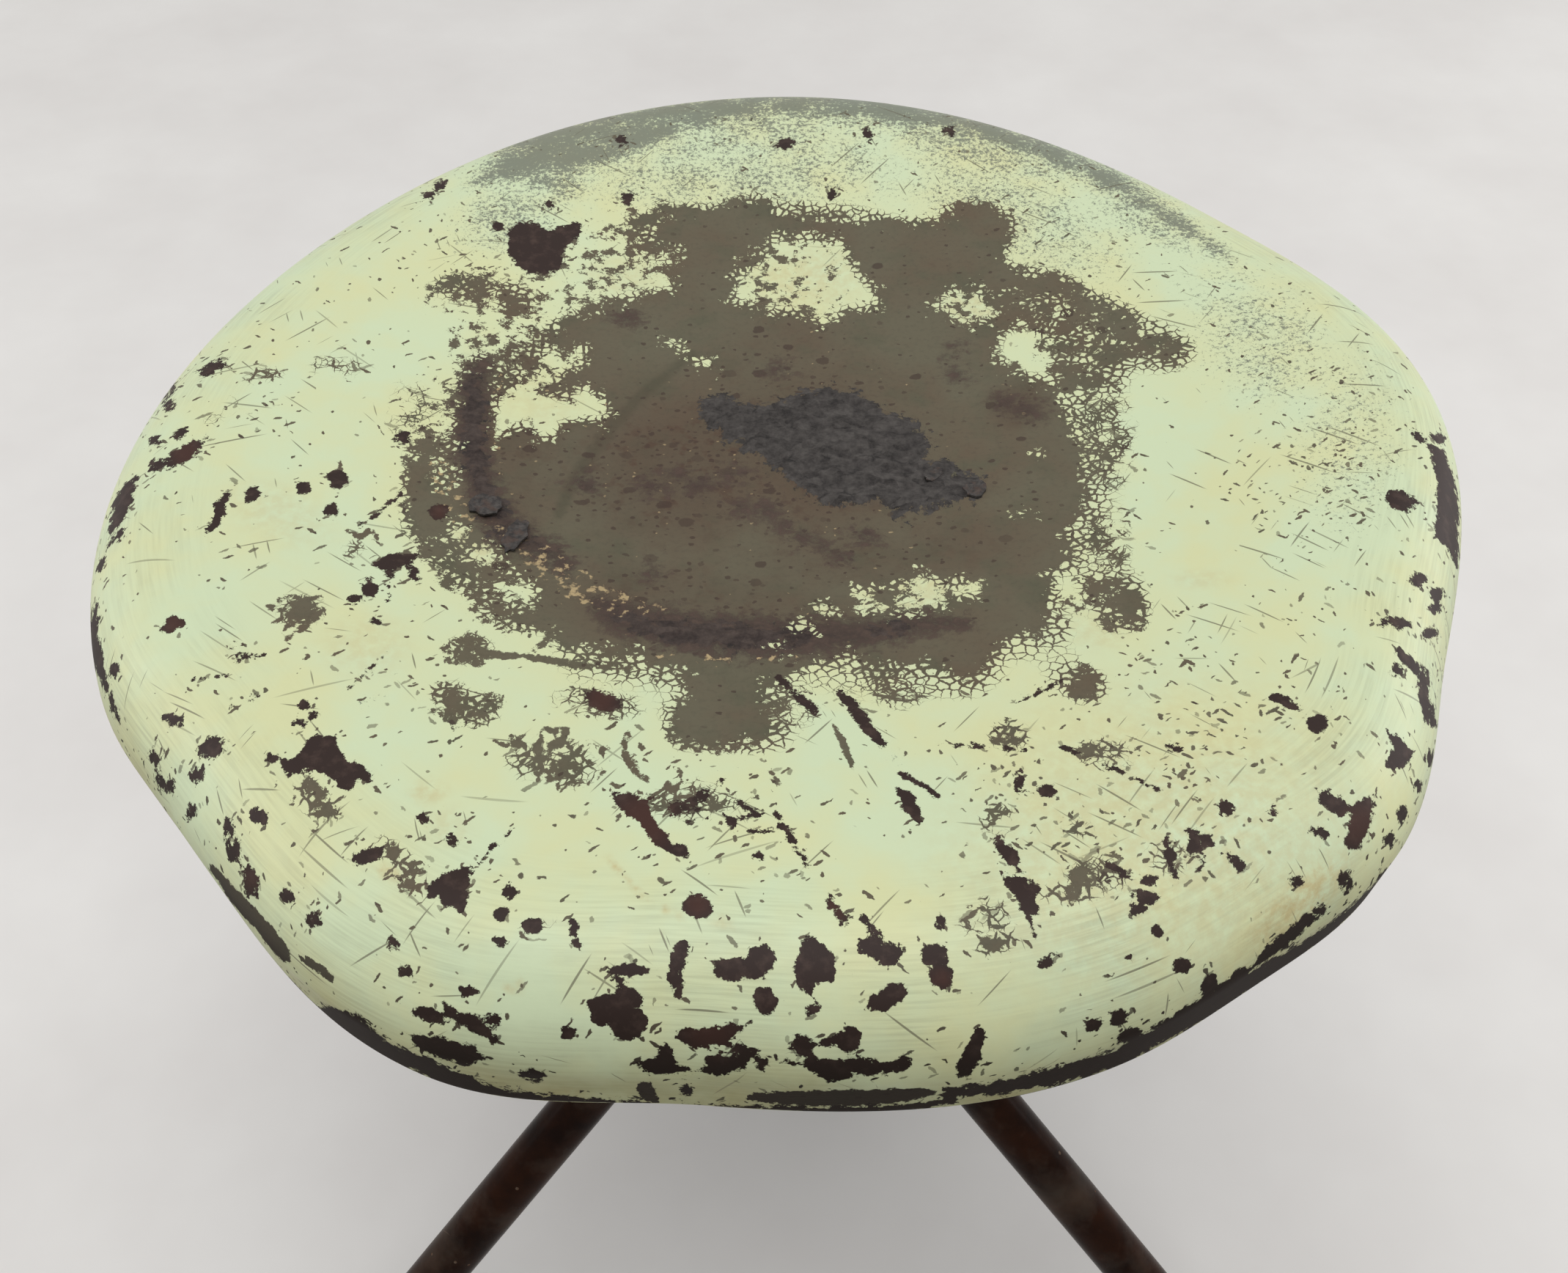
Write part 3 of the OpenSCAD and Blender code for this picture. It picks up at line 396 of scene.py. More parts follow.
RUB_ZONES = [
    (755, 225, 110, 100, 1.3, -20), (1000, 150, 400, 90, 1.1), (1330, 190, 300, 80, 1.1, 16),
    (1560, 290, 200, 60, 1.0, 32), (1020, 250, 160, 45, 0.5), (1720, 460, 220, 150, 0.85, 40),
    (1840, 600, 140, 230, 0.75), (640, 330, 110, 60, 0.4, -30), (505, 955, 34, 14, 0.8, -15),
    (1050, 1032, 30, 10, 0.3), (1226, 1032, 42, 22, 0.5), (1620, 380, 110, 50, 0.5, 35),
    (1000, 225, 460, 130, 0.95), (1380, 290, 320, 120, 0.9, 24), (700, 290, 150, 90, 1.0, -25),
]
SCUFF_ZONES = [
    (1650, 1000, 260, 260, 1.2), (1450, 1120, 260, 160, 1.5), (1000, 1150, 420, 190, 0.8),
    (560, 900, 200, 160, 0.8), (520, 1180, 260, 160, 0.6, 30), (1800, 650, 180, 300, 0.9),
    (330, 560, 180, 110, 0.6, -30), (900, 1290, 300, 80, 0.5), (640, 330, 160, 110, 0.6, -30),
    (1500, 330, 240, 110, 0.4, 20),
]
STAIN_ZONES = [
    (1100, 380, 120, 70, 0.5), (1322, 420, 70, 36, 0.5), (1240, 810, 120, 40, 0.5, -8),
    (1110, 840, 60, 30, 0.5), (855, 375, 80, 40, 0.4), (745, 540, 90, 70, 0.3), (650, 740, 60, 40, 0.5),
    (1770, 1232, 150, 46, 1.0, -42), (530, 1190, 30, 16, 0.9, 20), (610, 1130, 50, 44, 0.35),
    (585, 1080, 40, 24, 0.6), (380, 700, 110, 60, 0.35, 20), (500, 880, 90, 60, 0.35),
    (840, 1180, 34, 6, 1.0, 58), (872, 1215, 32, 6, 1.0, 40), (912, 1242, 36, 6, 0.9, 24),
    (985, 1258, 24, 14, 0.5), (700, 1345, 26, 10, 0.7, -20), (560, 1440, 16, 10, 0.6),
    (760, 1490, 60, 8, 0.6), (1640, 790, 60, 20, 0.35), (1660, 1000, 40, 16, 0.5),
    (1420, 1160, 60, 40, 0.4), (1580, 1150, 420, 300, 0.5, -10), (1500, 860, 60, 40, 0.4),
]
# How steeply a zone rises from its edge
ZONE_GAIN = 1.25
# Least scuffing in the photograph, and that of the side that it doesn't show
SCUFF_LEAST = 0.15
SCUFF_BACK = 0.5
# Soft strokes: tan crumbs beside the ring, and the band along the back, rubbed thin and darkened as painted
# shade where the rim curves away
FRINGE_STROKES = [
    [(600, 640, 18), (620, 690, 22), (640, 720, 14)],
    [(668, 715, 10), (735, 765, 26), (790, 800, 30), (842, 825, 22), (905, 826, 12)],
    [(678, 510, 10), (676, 600, 12), (690, 660, 10)], [(900, 895, 10), (1000, 902, 9), (1100, 895, 8)],
]
RUB_AND_SHADE_BAND = [
    (640, 250, 30), (740, 205, 70), (850, 180, 62), (960, 150, 52), (1072, 140, 48), (1200, 145, 52),
    (1330, 168, 52), (1430, 205, 46), (1520, 250, 44), (1600, 300, 40), (1680, 355, 30),
]
RUB_AND_SHADE_BAND_STRENGTH = 1.7
# Rise at the edge of crumbs, dim arc, rubbed and shaded band, and ring: its width in pixels, and the share
# on the edge
FRINGE_RISE = (14, 0.4)
DIM_RISE = (6, 0.0)
RUB_AND_SHADE_RISE = (46, 0.0)
SMOOTH_RISE = (10, 0.5)

# Back of the skirt, which the photograph doesn't show: chips, in millimetres, from a seeded draw
BACK_CHIPS = 70
BACK_SEED = 11
BACK_SIZES = (1.2, 1.6, 2.2, 3.5, 5.0)
BACK_LONGEST = 2.4
BACK_TURN = 40
# Under 1 sets more of them low
BACK_LOW = 0.6
# Its worn lower edge: how far below the skirt it lies, and the height, length and shift of its waves
BACK_EDGE = 1.5
BACK_WAVES = [(2.2, 23, 0), (1.7, 7.3, 1), (1.2, 3.1, 0)]

# Stretches along the sheet from the seat's middle, in millimetres: where an effect starts and is full
RIM_ARC = (CREST_R - 12, CREST_R + 8)
FOOT_ARC = (CREST_R + 20, CREST_R + 40)
GRIME_AND_SHADE_ARC = (CREST_R + 26, CREST_R + 50)
OVERSPRAY_ARC = (216.0, 246.0)

# How far small shapes on the enamel are bent, in millimetres
BEND = 2.0
# Layers of marks: turn, cell length and width in millimetres, and share of the cells that hold one
SHARDS = [(0.7, 7.0, 2.4, 0.4), (-0.5, 6.0, 2.2, 0.35), (1.5, 5.0, 2.6, 0.3), (2.4, 9.0, 2.2, 0.25)]
SCRATCHES = [
    (0.6, 60.0, 2.2, 0.16), (0.75, 44.0, 2.0, 0.14), (-0.9, 56.0, 2.0, 0.1), (-0.4, 70.0, 2.4, 0.1),
    (2.2, 40.0, 2.0, 0.1), (0.1, 50.0, 2.4, 0.09), (1.2, 24.0, 1.8, 0.09),
]
# Turns of the long toes in the nets
BIRD_FEET = (0.3, 1.0, -0.7)

# Brings the swing of a noise round its middle to about one
NOISE_GAIN = 12.0
# Half width of a ragged edge, in millimetres
EDGE_SOFT = 0.07
# Strength of the relief in every material
RELIEF = 0.6


def srgb(red, green, blue):
    """A colour as the eye names it, 0 to 255, in the linear values that a shader takes."""
    parts = [c / 255 for c in (red, green, blue)]
    return tuple(c / 12.92 if c <= 0.04045 else ((c + 0.055) / 1.055) ** 2.4 for c in parts) + (1.0,)


# Colours of the enamel, of the layers below it, and of the scale
MINT = srgb(208, 221, 184)
CREAM = srgb(214, 217, 170)
# Grey of rubbed enamel, also laid along the far edge as painted shade
RUBBED_AND_SHADE = srgb(104, 107, 99)
TAN_STAIN = srgb(196, 178, 128)
# Dull yellow-brown on the lower skirt: partly grime, partly painted shade
GRIME_AND_SHADE = srgb(134, 124, 78)
OLIVE = srgb(98, 93, 76)
OLIVE_GREEN = srgb(88, 86, 69)
OLIVE_BROWN = srgb(96, 85, 69)
OLIVE_DIM = srgb(70, 69, 54)
RUST = srgb(76, 57, 46)
OLD_PAINT = srgb(44, 31, 27)
OLD_PAINT_PALE = srgb(68, 53, 47)
RED_PAINT = srgb(74, 45, 37)
# Near-black brown laid over the bare places at the skirt's foot: painted shade
FOOT_SHADE_BROWN = srgb(28, 20, 14)
SCALE_DARK = srgb(42, 39, 38)
SCALE_GREY_AND_HIGHLIGHT = srgb(84, 80, 77)
SCALE_BROWN = srgb(60, 46, 40)
SCALE_CRACK = srgb(30, 28, 28)
RING_BROWN = srgb(54, 43, 40)
RING_PALE_AND_HIGHLIGHT = srgb(84, 68, 60)
TAN_FLECK = srgb(192, 170, 128)
# Colours of the underside, the brown paint, the rubber, the resin and the floor
INSIDE_GREY = srgb(74, 66, 58)
INSIDE_BROWN = srgb(58, 46, 40)
INSIDE_RUST = srgb(104, 66, 44)
INSIDE_PIT = srgb(44, 34, 30)
BROWN_DARK = srgb(22, 8, 3)
BROWN_WARM = srgb(46, 22, 8)
BROWN_PRIMER = srgb(98, 88, 76)
BROWN_RUST = srgb(86, 58, 42)
BROWN_SCRATCH = srgb(110, 92, 74)
BROWN_DUST = srgb(150, 140, 126)
RUBBER_BLACK = srgb(30, 29, 28)
RUBBER_GREY = srgb(44, 42, 40)
RUBBER_SCUFF = srgb(112, 105, 96)
RUBBER_DUST = srgb(140, 132, 122)
RESIN_BLACK = srgb(20, 17, 16)
RESIN_BROWN = srgb(40, 28, 22)
RESIN_SCRATCH = srgb(96, 84, 74)
FLOOR_PALE = srgb(218, 216, 213)
FLOOR_GREY = srgb(210, 207, 204)
# Metals: bright, dull and tarnished colour, and share of the tarnish
METALS = {
    "steel": (srgb(134, 130, 124), srgb(104, 99, 93), srgb(74, 53, 39), 0.14),
    "bronze": (srgb(150, 112, 70), srgb(116, 86, 52), srgb(66, 50, 34), 0.14),
    "brass": (srgb(204, 168, 94), srgb(170, 138, 76), srgb(96, 74, 42), 0.12),
}

# Studio: half side of the floor in metres, and the sky as a light and as a backdrop
FLOOR_HALF = 6.0
SKY_STRENGTH = 0.14
BACKDROP_STRENGTH = 0.7
# Overhead light, as wide as a soft box: its direction, strength and spread in degrees
OVERHEAD_FROM = Vector((0.0, -0.2, 1.0))
OVERHEAD_STRENGTH = 2.2
OVERHEAD_SPREAD = 50
# Side lamps: place in metres, side of the square, power in watts
LAMPS = {
    "right": (Vector((1.9, 0.4, 0.95)), 1.2, 15.5),
    "left": (Vector((-1.9, 0.1, 1.1)), 1.2, 11.5),
}


class Graph:
    """Short calls that add nodes to one shader tree and link them."""

    def __init__(self, tree):
        self.tree = tree

    def feed(self, socket, value):
        if isinstance(value, bpy.types.NodeSocket):
            self.tree.links.new(value, socket)
        else:
            socket.default_value = value

    def add(self, kind, feeds=(), **settings):
        node = self.tree.nodes.new(kind)
        for key, value in settings.items():
            setattr(node, key, value)
        for key, value in dict(feeds).items():
            self.feed(node.inputs[key], value)
        return node

    def math(self, operation, *values):
        """The values put together by the operation, one after another."""
        result = values[0]
        for value in values[1:]:
            result = self.add("ShaderNodeMath", {0: result, 1: value}, operation=operation).outputs[0]
        return result

    def most(self, *values):
        return self.math("MAXIMUM", *values)

    def times(self, *values):
        return self.math("MULTIPLY", *values)

    def plus(self, *values):
        return self.math("ADD", *values)

    def less(self, *values):
        return self.math("SUBTRACT", *values)

    def fit(self, value, low, high, start=0.0, end=1.0):
        """The value brought from its span to another one, and held at its ends."""
        feeds = {"Value": value, "From Min": low, "From Max": high, "To Min": start, "To Max": end}
        return self.add("ShaderNodeMapRange", feeds).outputs[0]

    def between(self, share, start, end):
        """From start at a share of 0 to end at 1."""
        return self.fit(share, 0.0, 1.0, start, end)

    def blend(self, share, low, high):
        return self.add("ShaderNodeMix", {0: share, 6: low, 7: high}, data_type="RGBA").outputs[2]

    def over(self, tone, colour, *masks):
        """The colour laid over the tone, by the product of the masks."""
        return self.blend(self.times(*masks), tone, colour)

    def vector(self, operation, *values):
        return self.add("ShaderNodeVectorMath", enumerate(values), operation=operation).outputs[0]

    def stretched(self, vector, factor):
        return self.add("ShaderNodeVectorMath", {0: vector, 3: factor}, operation="SCALE").outputs[0]

    def scaled(self, vector, size):
        """The vector in cells of that size."""
        linked = isinstance(size, bpy.types.NodeSocket)
        return self.stretched(vector, self.math("DIVIDE", 1.0, size) if linked else 1 / size)

    def noise(self, vector, size, detail=2.0, rough=0.5, output=0):
        feeds = {"Vector": self.scaled(vector, size), "Scale": 1.0, "Detail": detail, "Roughness": rough}
        return self.add("ShaderNodeTexNoise", feeds).outputs[output]

    def cells(self, vector, **settings):
        return self.add("ShaderNodeTexVoronoi", {"Vector": vector, "Scale": 1.0}, **settings).outputs

    def drawn(self, cells):
        """Three random numbers for each cell."""
        return self.add("ShaderNodeSeparateColor", {0: cells["Color"]}).outputs

    def seams(self, vector, size):
        """Distance to the nearest crack of a net of cells of that size, in the same unit."""
        net = self.cells(self.scaled(vector, size), feature="DISTANCE_TO_EDGE", voronoi_dimensions="2D")
        return self.times(net["Distance"], size)

    def painted(self, name):
        """A value laid on the piece's own points."""
        return self.add("ShaderNodeAttribute", attribute_name=name).outputs["Fac"]

    def use(self, effect, vector, **feeds):
        """The mask of a shared effect at that point."""
        node = self.add("ShaderNodeGroup", node_tree=effect)
        self.feed(node.inputs["Vector"], vector)
        for key, value in feeds.items():
            self.feed(node.inputs[key.title()], value)
        return node.outputs[0]

    def place(self):
        """The point on the piece, in millimetres."""
        return self.scaled(self.add("ShaderNodeTexCoord").outputs["Object"], MM)

    def height(self, spot):
        return self.add("ShaderNodeSeparateXYZ", {0: spot}).outputs[2]

    def bearing(self):
        """The direction from the post's axis to the point."""
        return self.vector("NORMALIZE", self.vector("MULTIPLY", self.place(), (1, 1, 0)))

    def unrolled(self):
        """The point on the seat, in millimetres, with its sheet laid out flat from the middle."""
        return self.stretched(self.bearing(), self.painted("arc"))


def effect(name, inputs, build):
    """A node group that materials share: a vector and numbers in, one mask out."""
    tree = bpy.data.node_groups.new(name, "ShaderNodeTree")
    tree.interface.new_socket(name="Vector", in_out="INPUT", socket_type="NodeSocketVector")
    for label, start in inputs.items():
        socket = tree.interface.new_socket(name=label, in_out="INPUT", socket_type="NodeSocketFloat")
        socket.default_value = start
    tree.interface.new_socket(name="Mask", in_out="OUTPUT", socket_type="NodeSocketFloat")
    g = Graph(tree)
    given = g.add("NodeGroupInput").outputs
    g.add("NodeGroupOutput", {"Mask": build(g, given)})
    return tree


def mottle_effect():
    """Soft patches: 0 below the low level of a noise, 1 above the high one."""
    def build(g, given):
        cloud = g.noise(given["Vector"], given["Size"], detail=4.0, rough=0.6)
        return g.fit(cloud, given["Low"], given["High"])
    return effect("mottle", {"Size": 10.0, "Low": 0.4, "High": 0.6}, build)


def ragged_effect():
    """A crisp mask from a field in millimetres, its edge broken by a noise of that grain and reach."""
    def build(g, given):
        cloud = g.noise(given["Vector"], given["Grain"], detail=6.0, rough=0.74)
        swing = g.times(g.less(cloud, 0.5), given["Reach"], NOISE_GAIN)
        return g.fit(g.plus(given["Field"], swing), -EDGE_SOFT, EDGE_SOFT)
    return effect("ragged_edge", {"Field": 0.0, "Grain": 2.0, "Reach": 1.0}, build)


def marks_effect(name, dimensions):
    """Scattered specks, dashes or scratches: one in some cells of a stretched, turned net."""
    def build(g, given):
        feeds = {"Vector": given["Vector"], "Angle": given["Turn"]}
        turned = g.add("ShaderNodeVectorRotate", feeds, rotation_type="Z_AXIS").outputs[0]
        sides = {0: given["Length"], 1: given["Width"], 2: given["Length"]}
        spot = g.vector("DIVIDE", turned, g.add("ShaderNodeCombineXYZ", sides).outputs[0])
        cells = g.cells(spot, voronoi_dimensions=dimensions)
        draw = g.drawn(cells)
        shown = g.math("LESS_THAN", draw[0], given["Share"])
        reach = g.times(given["Reach"], g.between(draw[1], 0.35, 1.0))
        inside = g.less(reach, cells["Distance"])
        return g.times(shown, g.fit(inside, 0.0, 0.04), g.fit(draw[2], 0.0, 0.5, 0.45, 1.0))
    inputs = {"Turn": 0.0, "Length": 5.0, "Width": 5.0, "Share": 0.3, "Reach": 0.3}
    return effect(name, inputs, build)


MOTTLE = mottle_effect()
RAGGED = ragged_effect()
MARKS = marks_effect("marks", "3D")
FLAT_MARKS = marks_effect("flat_marks", "2D")


def material(name):
    """A new material with its shader: (material, graph, shader's inputs)."""
    made = bpy.data.materials.new(name)
    made.use_nodes = True
    return made, Graph(made.node_tree), made.node_tree.nodes["Principled BSDF"].inputs


def finish(g, shader, tone, rough, height):
    """Feeds a shader its colour, its roughness and its relief, a height in millimetres."""
    g.feed(shader["Base Color"], tone)
    g.feed(shader["Roughness"], rough)
    relief = g.add("ShaderNodeBump", {"Height": height, "Strength": RELIEF, "Distance": MM})
    g.feed(shader["Normal"], relief.outputs[0])


def primer_colour(g, spot, bent):
    """Olive primer, browned and pitted, with rust stains and dark blotches."""
    rust = g.painted("rust")
    tone = g.blend(g.use(MOTTLE, spot, size=34.0, low=0.4, high=0.64), OLIVE, OLIVE_BROWN)
    tone = g.over(tone, OLIVE_GREEN, g.use(MOTTLE, spot, size=16.0, low=0.5, high=0.7))
    tone = g.over(tone, OLIVE_DIM, g.painted("dim"), 0.55)
    cloud = g.use(MOTTLE, spot, size=6.0, low=0.38, high=0.62)
    tone = g.over(tone, RUST, g.most(g.times(rust, 0.5), g.times(rust, cloud, 0.85)))
    blots = g.use(FLAT_MARKS, bent, length=9.0, width=7.0, share=g.between(rust, 0.1, 0.6), reach=0.26)
    dots = g.use(FLAT_MARKS, bent, length=3.2, width=2.6, share=g.between(rust, 0.14, 0.8), reach=0.28)
    tone = g.over(tone, SCALE_BROWN, g.most(blots, dots), 0.7)
    flecks = g.use(FLAT_MARKS, bent, length=2.4, width=2.0, share=g.times(rust, 0.08), reach=0.2)
    tone = g.over(tone, TAN_FLECK, flecks, 0.5)
    return g.over(tone, SCALE_DARK, g.use(MOTTLE, spot, size=1.6, low=0.5, high=0.75), 0.2)


def scale_colour(g, spot, bent):
    """Flaked dark scale: plates of different greys, lighter where they stand higher as a painted highlight,
    with cracks between them, and their height.
    """
    long = g.vector("MULTIPLY", bent, (0.6, 1.0, 1.0))
    draw = g.drawn(g.cells(g.scaled(long, 2.6), voronoi_dimensions="2D"))
    level = g.plus(g.times(draw[0], 0.16), g.noise(spot, 3.0, detail=6.0, rough=0.75))
    tone = g.blend(g.fit(level, 0.4, 0.76), SCALE_DARK, SCALE_GREY_AND_HIGHLIGHT)
    crack = g.fit(g.seams(long, 5.5), 0.0, 0.4, 1.0, 0.0)
    gaps = g.use(MOTTLE, spot, size=7.0, low=0.5, high=0.62)
    return g.over(tone, SCALE_CRACK, crack, gaps, 0.8), level


def enamel_colour(g, spot):
    """Mint enamel with creamy patches, stains and rubbed places, greyed further along the far edge as
    painted shade.
    """
    tone = g.blend(g.use(MOTTLE, spot, size=42.0, low=0.42, high=0.64), MINT, CREAM)
    tone = g.over(tone, CREAM, g.fit(g.painted("worn"), -14.0, 0.0), 0.5)
    blotch = g.use(MOTTLE, spot, size=3.0, low=0.35, high=0.6)
    tone = g.over(tone, TAN_STAIN, g.painted("stain"), blotch, 0.75)
    grain = g.noise(spot, 1.5, detail=5.0, rough=0.85)
    patch = g.use(MOTTLE, spot, size=9.0, low=0.3, high=0.6)
    # The rub level also carries painted shade along the far edge
    limit = g.less(0.68, g.times(g.painted("rub"), g.between(patch, 0.13, 0.21)))
    return g.over(tone, RUBBED_AND_SHADE, g.fit(grain, limit, g.plus(limit, 0.05)), 0.85)


def brush_lines(g):
    """Ridges that the brush left along the rim, 0 in the valleys to 1 on top, and where they run."""
    across = g.add("ShaderNodeCombineXYZ", {2: g.times(g.painted("arc"), 1.3)}).outputs[0]
    path = g.vector("ADD", g.stretched(g.bearing(), 9.0), across)
    lines = g.noise(path, 1.0, detail=2.0, rough=0.6)
    return g.fit(lines, 0.34, 0.6), g.fit(g.painted("arc"), *RIM_ARC)


def bent_place(g, spot):
    """The unrolled point, shifted a little by a noise, for shapes with uneven edges."""
    cloud = g.noise(spot, 2.4, detail=3.0, rough=0.6, output="Color")
    shift = g.vector("SUBTRACT", cloud, (0.5, 0.5, 0.5))
    return g.vector("MULTIPLY_ADD", shift, (BEND, BEND, 0.0), spot)


def lost_enamel(g, spot, bent):
    """Where the enamel is gone from the primer: its broad patches, and these with lace, nets and shards."""
    worn, lace, grit, net, scuff = [g.painted(name) for name in ("worn", "lace", "grit", "net", "scuff")]
    border = g.times(worn, g.fit(grit, 0.25, 1.0, 1.0, 0.14))
    gone = g.use(RAGGED, spot, field=border, grain=5.5, reach=g.fit(grit, 0.25, 0.6, 2.0, 4.6))

    level = g.fit(g.plus(1.0, g.math("DIVIDE", worn, g.between(lace, 3.0, 15.0))), 0.0, 1.0)
    uneven = g.use(MOTTLE, spot, size=8.0, low=0.3, high=0.7)
    strips = g.times(g.math("POWER", level, 1.2), g.between(uneven, 0.34, 0.8))
    holes = g.fit(g.less(strips, g.seams(bent, 2.5)), 0.0, 0.12)

    broken = g.use(MOTTLE, spot, size=8.0, low=0.32, high=0.56)
    cracks = g.times(net, broken, 0.85)
    cracked = g.fit(g.less(cracks, 0.12, g.seams(bent, 4.0)), 0.0, 0.1)
    fine = g.fit(g.less(g.times(cracks, 0.6), 0.1, g.seams(bent, 1.9)), 0.0, 0.1)
    feet = [g.use(RAGGED, spot, field=g.painted("foot"), grain=2.4, reach=0.3)]
    toes = g.times(net, broken, 0.9)
    for turn in BIRD_FEET:
        feet.append(g.use(FLAT_MARKS, bent, turn=turn, length=15.0, width=2.6, share=toes, reach=0.27))

    bunch = g.use(MOTTLE, spot, size=22.0, low=0.42, high=0.62)
    scuffed = g.times(scuff, g.between(bunch, 0.25, 1.2))
    beside_worn = g.fit(worn, -6.0, -1.0, 0.0, 0.8)
    beside_chip = g.fit(g.painted("chip"), -4.0, -0.5, 0.0, 0.7)
    near = g.most(scuffed, beside_worn, beside_chip)
    shards = mark_layers(g, bent, SHARDS, near, 0.24)
    specks = g.use(FLAT_MARKS, bent, length=2.8, width=2.8, share=g.between(near, 0.04, 0.2), reach=0.2)
    return gone, g.most(gone, holes, cracked, fine, specks, *shards, *feet)


def mark_layers(g, spot, layers, amount, reach):
    """Masks of the layers of marks, each with its share of an amount."""
    masks = []
    for turn, length, width, share in layers:
        part = g.times(amount, share)
        masks.append(g.use(FLAT_MARKS, spot, turn=turn, length=length, width=width, share=part, reach=reach))
    return masks


def worn_enamel():
    """The seat's outside: enamel over olive primer, old dark paint and scale, with grime and painted shade
    towards the skirt's foot.
    """
    made, g, shader = material("worn_enamel")
    spot = g.unrolled()
    bent = bent_place(g, spot)
    chipped = g.use(RAGGED, spot, field=g.painted("chip"), grain=3.6, reach=0.62)
    broad, lost = lost_enamel(g, spot, bent)
    paint = g.less(1.0, g.most(chipped, lost))
    thick = g.less(1.0, g.most(chipped, broad))
    ridges, on_rim = brush_lines(g)
    patchy = g.use(MOTTLE, spot, size=30.0, low=0.36, high=0.62)

    crust = g.use(RAGGED, spot, field=g.painted("crust"), grain=5.0, reach=1.6)
    scale_tone, scale_height = scale_colour(g, spot, bent)
    swing = g.times(g.less(scale_height, 0.58), 18.0)
    ring = g.fit(g.plus(g.painted("ring"), swing), -2.4, 1.4)
    # The ring's scale is paler where its lumps stand higher: partly its own tone, partly painted highlight
    ring_tone = g.blend(g.fit(scale_height, 0.45, 0.8), RING_BROWN, RING_PALE_AND_HIGHLIGHT)
    base = g.over(primer_colour(g, spot, bent), ring_tone, ring, 0.9)
    base = g.blend(crust, base, g.over(scale_tone, ring_tone, ring, 0.6))
    crumbs = g.use(MOTTLE, spot, size=3.0, low=g.between(g.painted("fringe"), 0.8, 0.5), high=0.86)
    base = g.over(base, TAN_FLECK, g.fit(crumbs, 0.1, 0.3, 0.0, 0.8))
    old = g.blend(g.use(MOTTLE, spot, size=4.0, low=0.5, high=0.72), OLD_PAINT, OLD_PAINT_PALE)
    old = g.over(old, RED_PAINT, g.painted("red"), 0.55)
    base = g.blend(chipped, base, old)
    # Painted shade: bare places at the skirt's foot darkened towards near-black brown
    base = g.over(base, FOOT_SHADE_BROWN, g.fit(g.painted("arc"), *FOOT_ARC, 0.0, 0.88))

    # Painted shade: the valleys between the brush ridges on the rim are darkened towards olive
    top = g.over(enamel_colour(g, spot), OLIVE, on_rim, patchy, g.less(1.0, ridges), 0.2)
    # Grime and painted shade: the lower skirt darkened towards a dull yellow-brown
    grime_and_shade = g.fit(g.painted("arc"), *GRIME_AND_SHADE_ARC, 0.0, 0.75)
    top = g.over(top, GRIME_AND_SHADE, grime_and_shade, g.between(patchy, 0.6, 1.0))
    scratches = mark_layers(g, spot, SCRATCHES, g.between(g.painted("scuff"), 0.5, 1.3), 0.15)
    top = g.over(top, OLIVE, g.most(*scratches), 0.75)

    matt = g.between(crust, 0.6, 0.88)
    gloss = g.between(g.use(MOTTLE, spot, size=9.0, low=0.3, high=0.7), 0.36, 0.5)
    lumps = g.times(g.most(crust, g.times(ring, 0.5)), scale_height, 0.6)
    strokes = g.times(on_rim, patchy, ridges, thick, 0.025)
    grain = g.times(g.noise(spot, 0.8, detail=3.0), 0.04)
    relief = g.plus(g.times(thick, 0.12), lumps, strokes, grain)
    finish(g, shader, g.blend(paint, base, top), g.between(paint, matt, gloss), relief)
    g.feed(shader["Specular IOR Level"], g.fit(g.painted("arc"), *FOOT_ARC, 0.22, 0.04))
    return made


def loose_scale():
    """The curled flakes: dark scale with brown patches."""
    made, g, shader = material("loose_scale")
    spot = g.place()
    rough = g.noise(spot, 1.6, detail=5.0, rough=0.7)
    # Lighter where the relief stands higher: partly the scale's own grey, partly painted highlight
    tone = g.blend(g.fit(rough, 0.4, 0.66), SCALE_DARK, SCALE_GREY_AND_HIGHLIGHT)
    tone = g.over(tone, RING_PALE_AND_HIGHLIGHT, g.use(MOTTLE, spot, size=3.0, low=0.5, high=0.66), 0.6)
    finish(g, shader, tone, g.fit(rough, 0.3, 0.7, 0.7, 0.95), g.times(rough, 0.3))
    shader["Specular IOR Level"].default_value = 0.3
    return made


def pan_inside():
    """The underside of the sheet: thin brown primer over bloomed rust, with overspray near the edge."""
    made, g, shader = material("pan_inside")
    spot = g.place()
    tone = g.blend(g.use(MOTTLE, spot, size=30.0, low=0.4, high=0.62), INSIDE_GREY, INSIDE_BROWN)
    bloom = g.use(MOTTLE, spot, size=11.0, low=0.54, high=0.66)
    tone = g.over(tone, INSIDE_RUST, bloom, 0.8)
    pits = g.use(MARKS, spot, length=2.2, width=2.2, share=0.3, reach=0.34)
    tone = g.over(tone, INSIDE_PIT, pits, 0.7)
    border = g.fit(g.painted("arc"), *OVERSPRAY_ARC, 3.0, -9.0)
    tone = g.over(tone, MINT, g.use(RAGGED, spot, field=border, grain=7.0, reach=1.6), 0.85)
    height = g.times(g.noise(spot, 1.2, detail=4.0, rough=0.7), 0.2)
    finish(g, shader, tone, g.between(bloom, 0.6, 0.9), height)
    return made


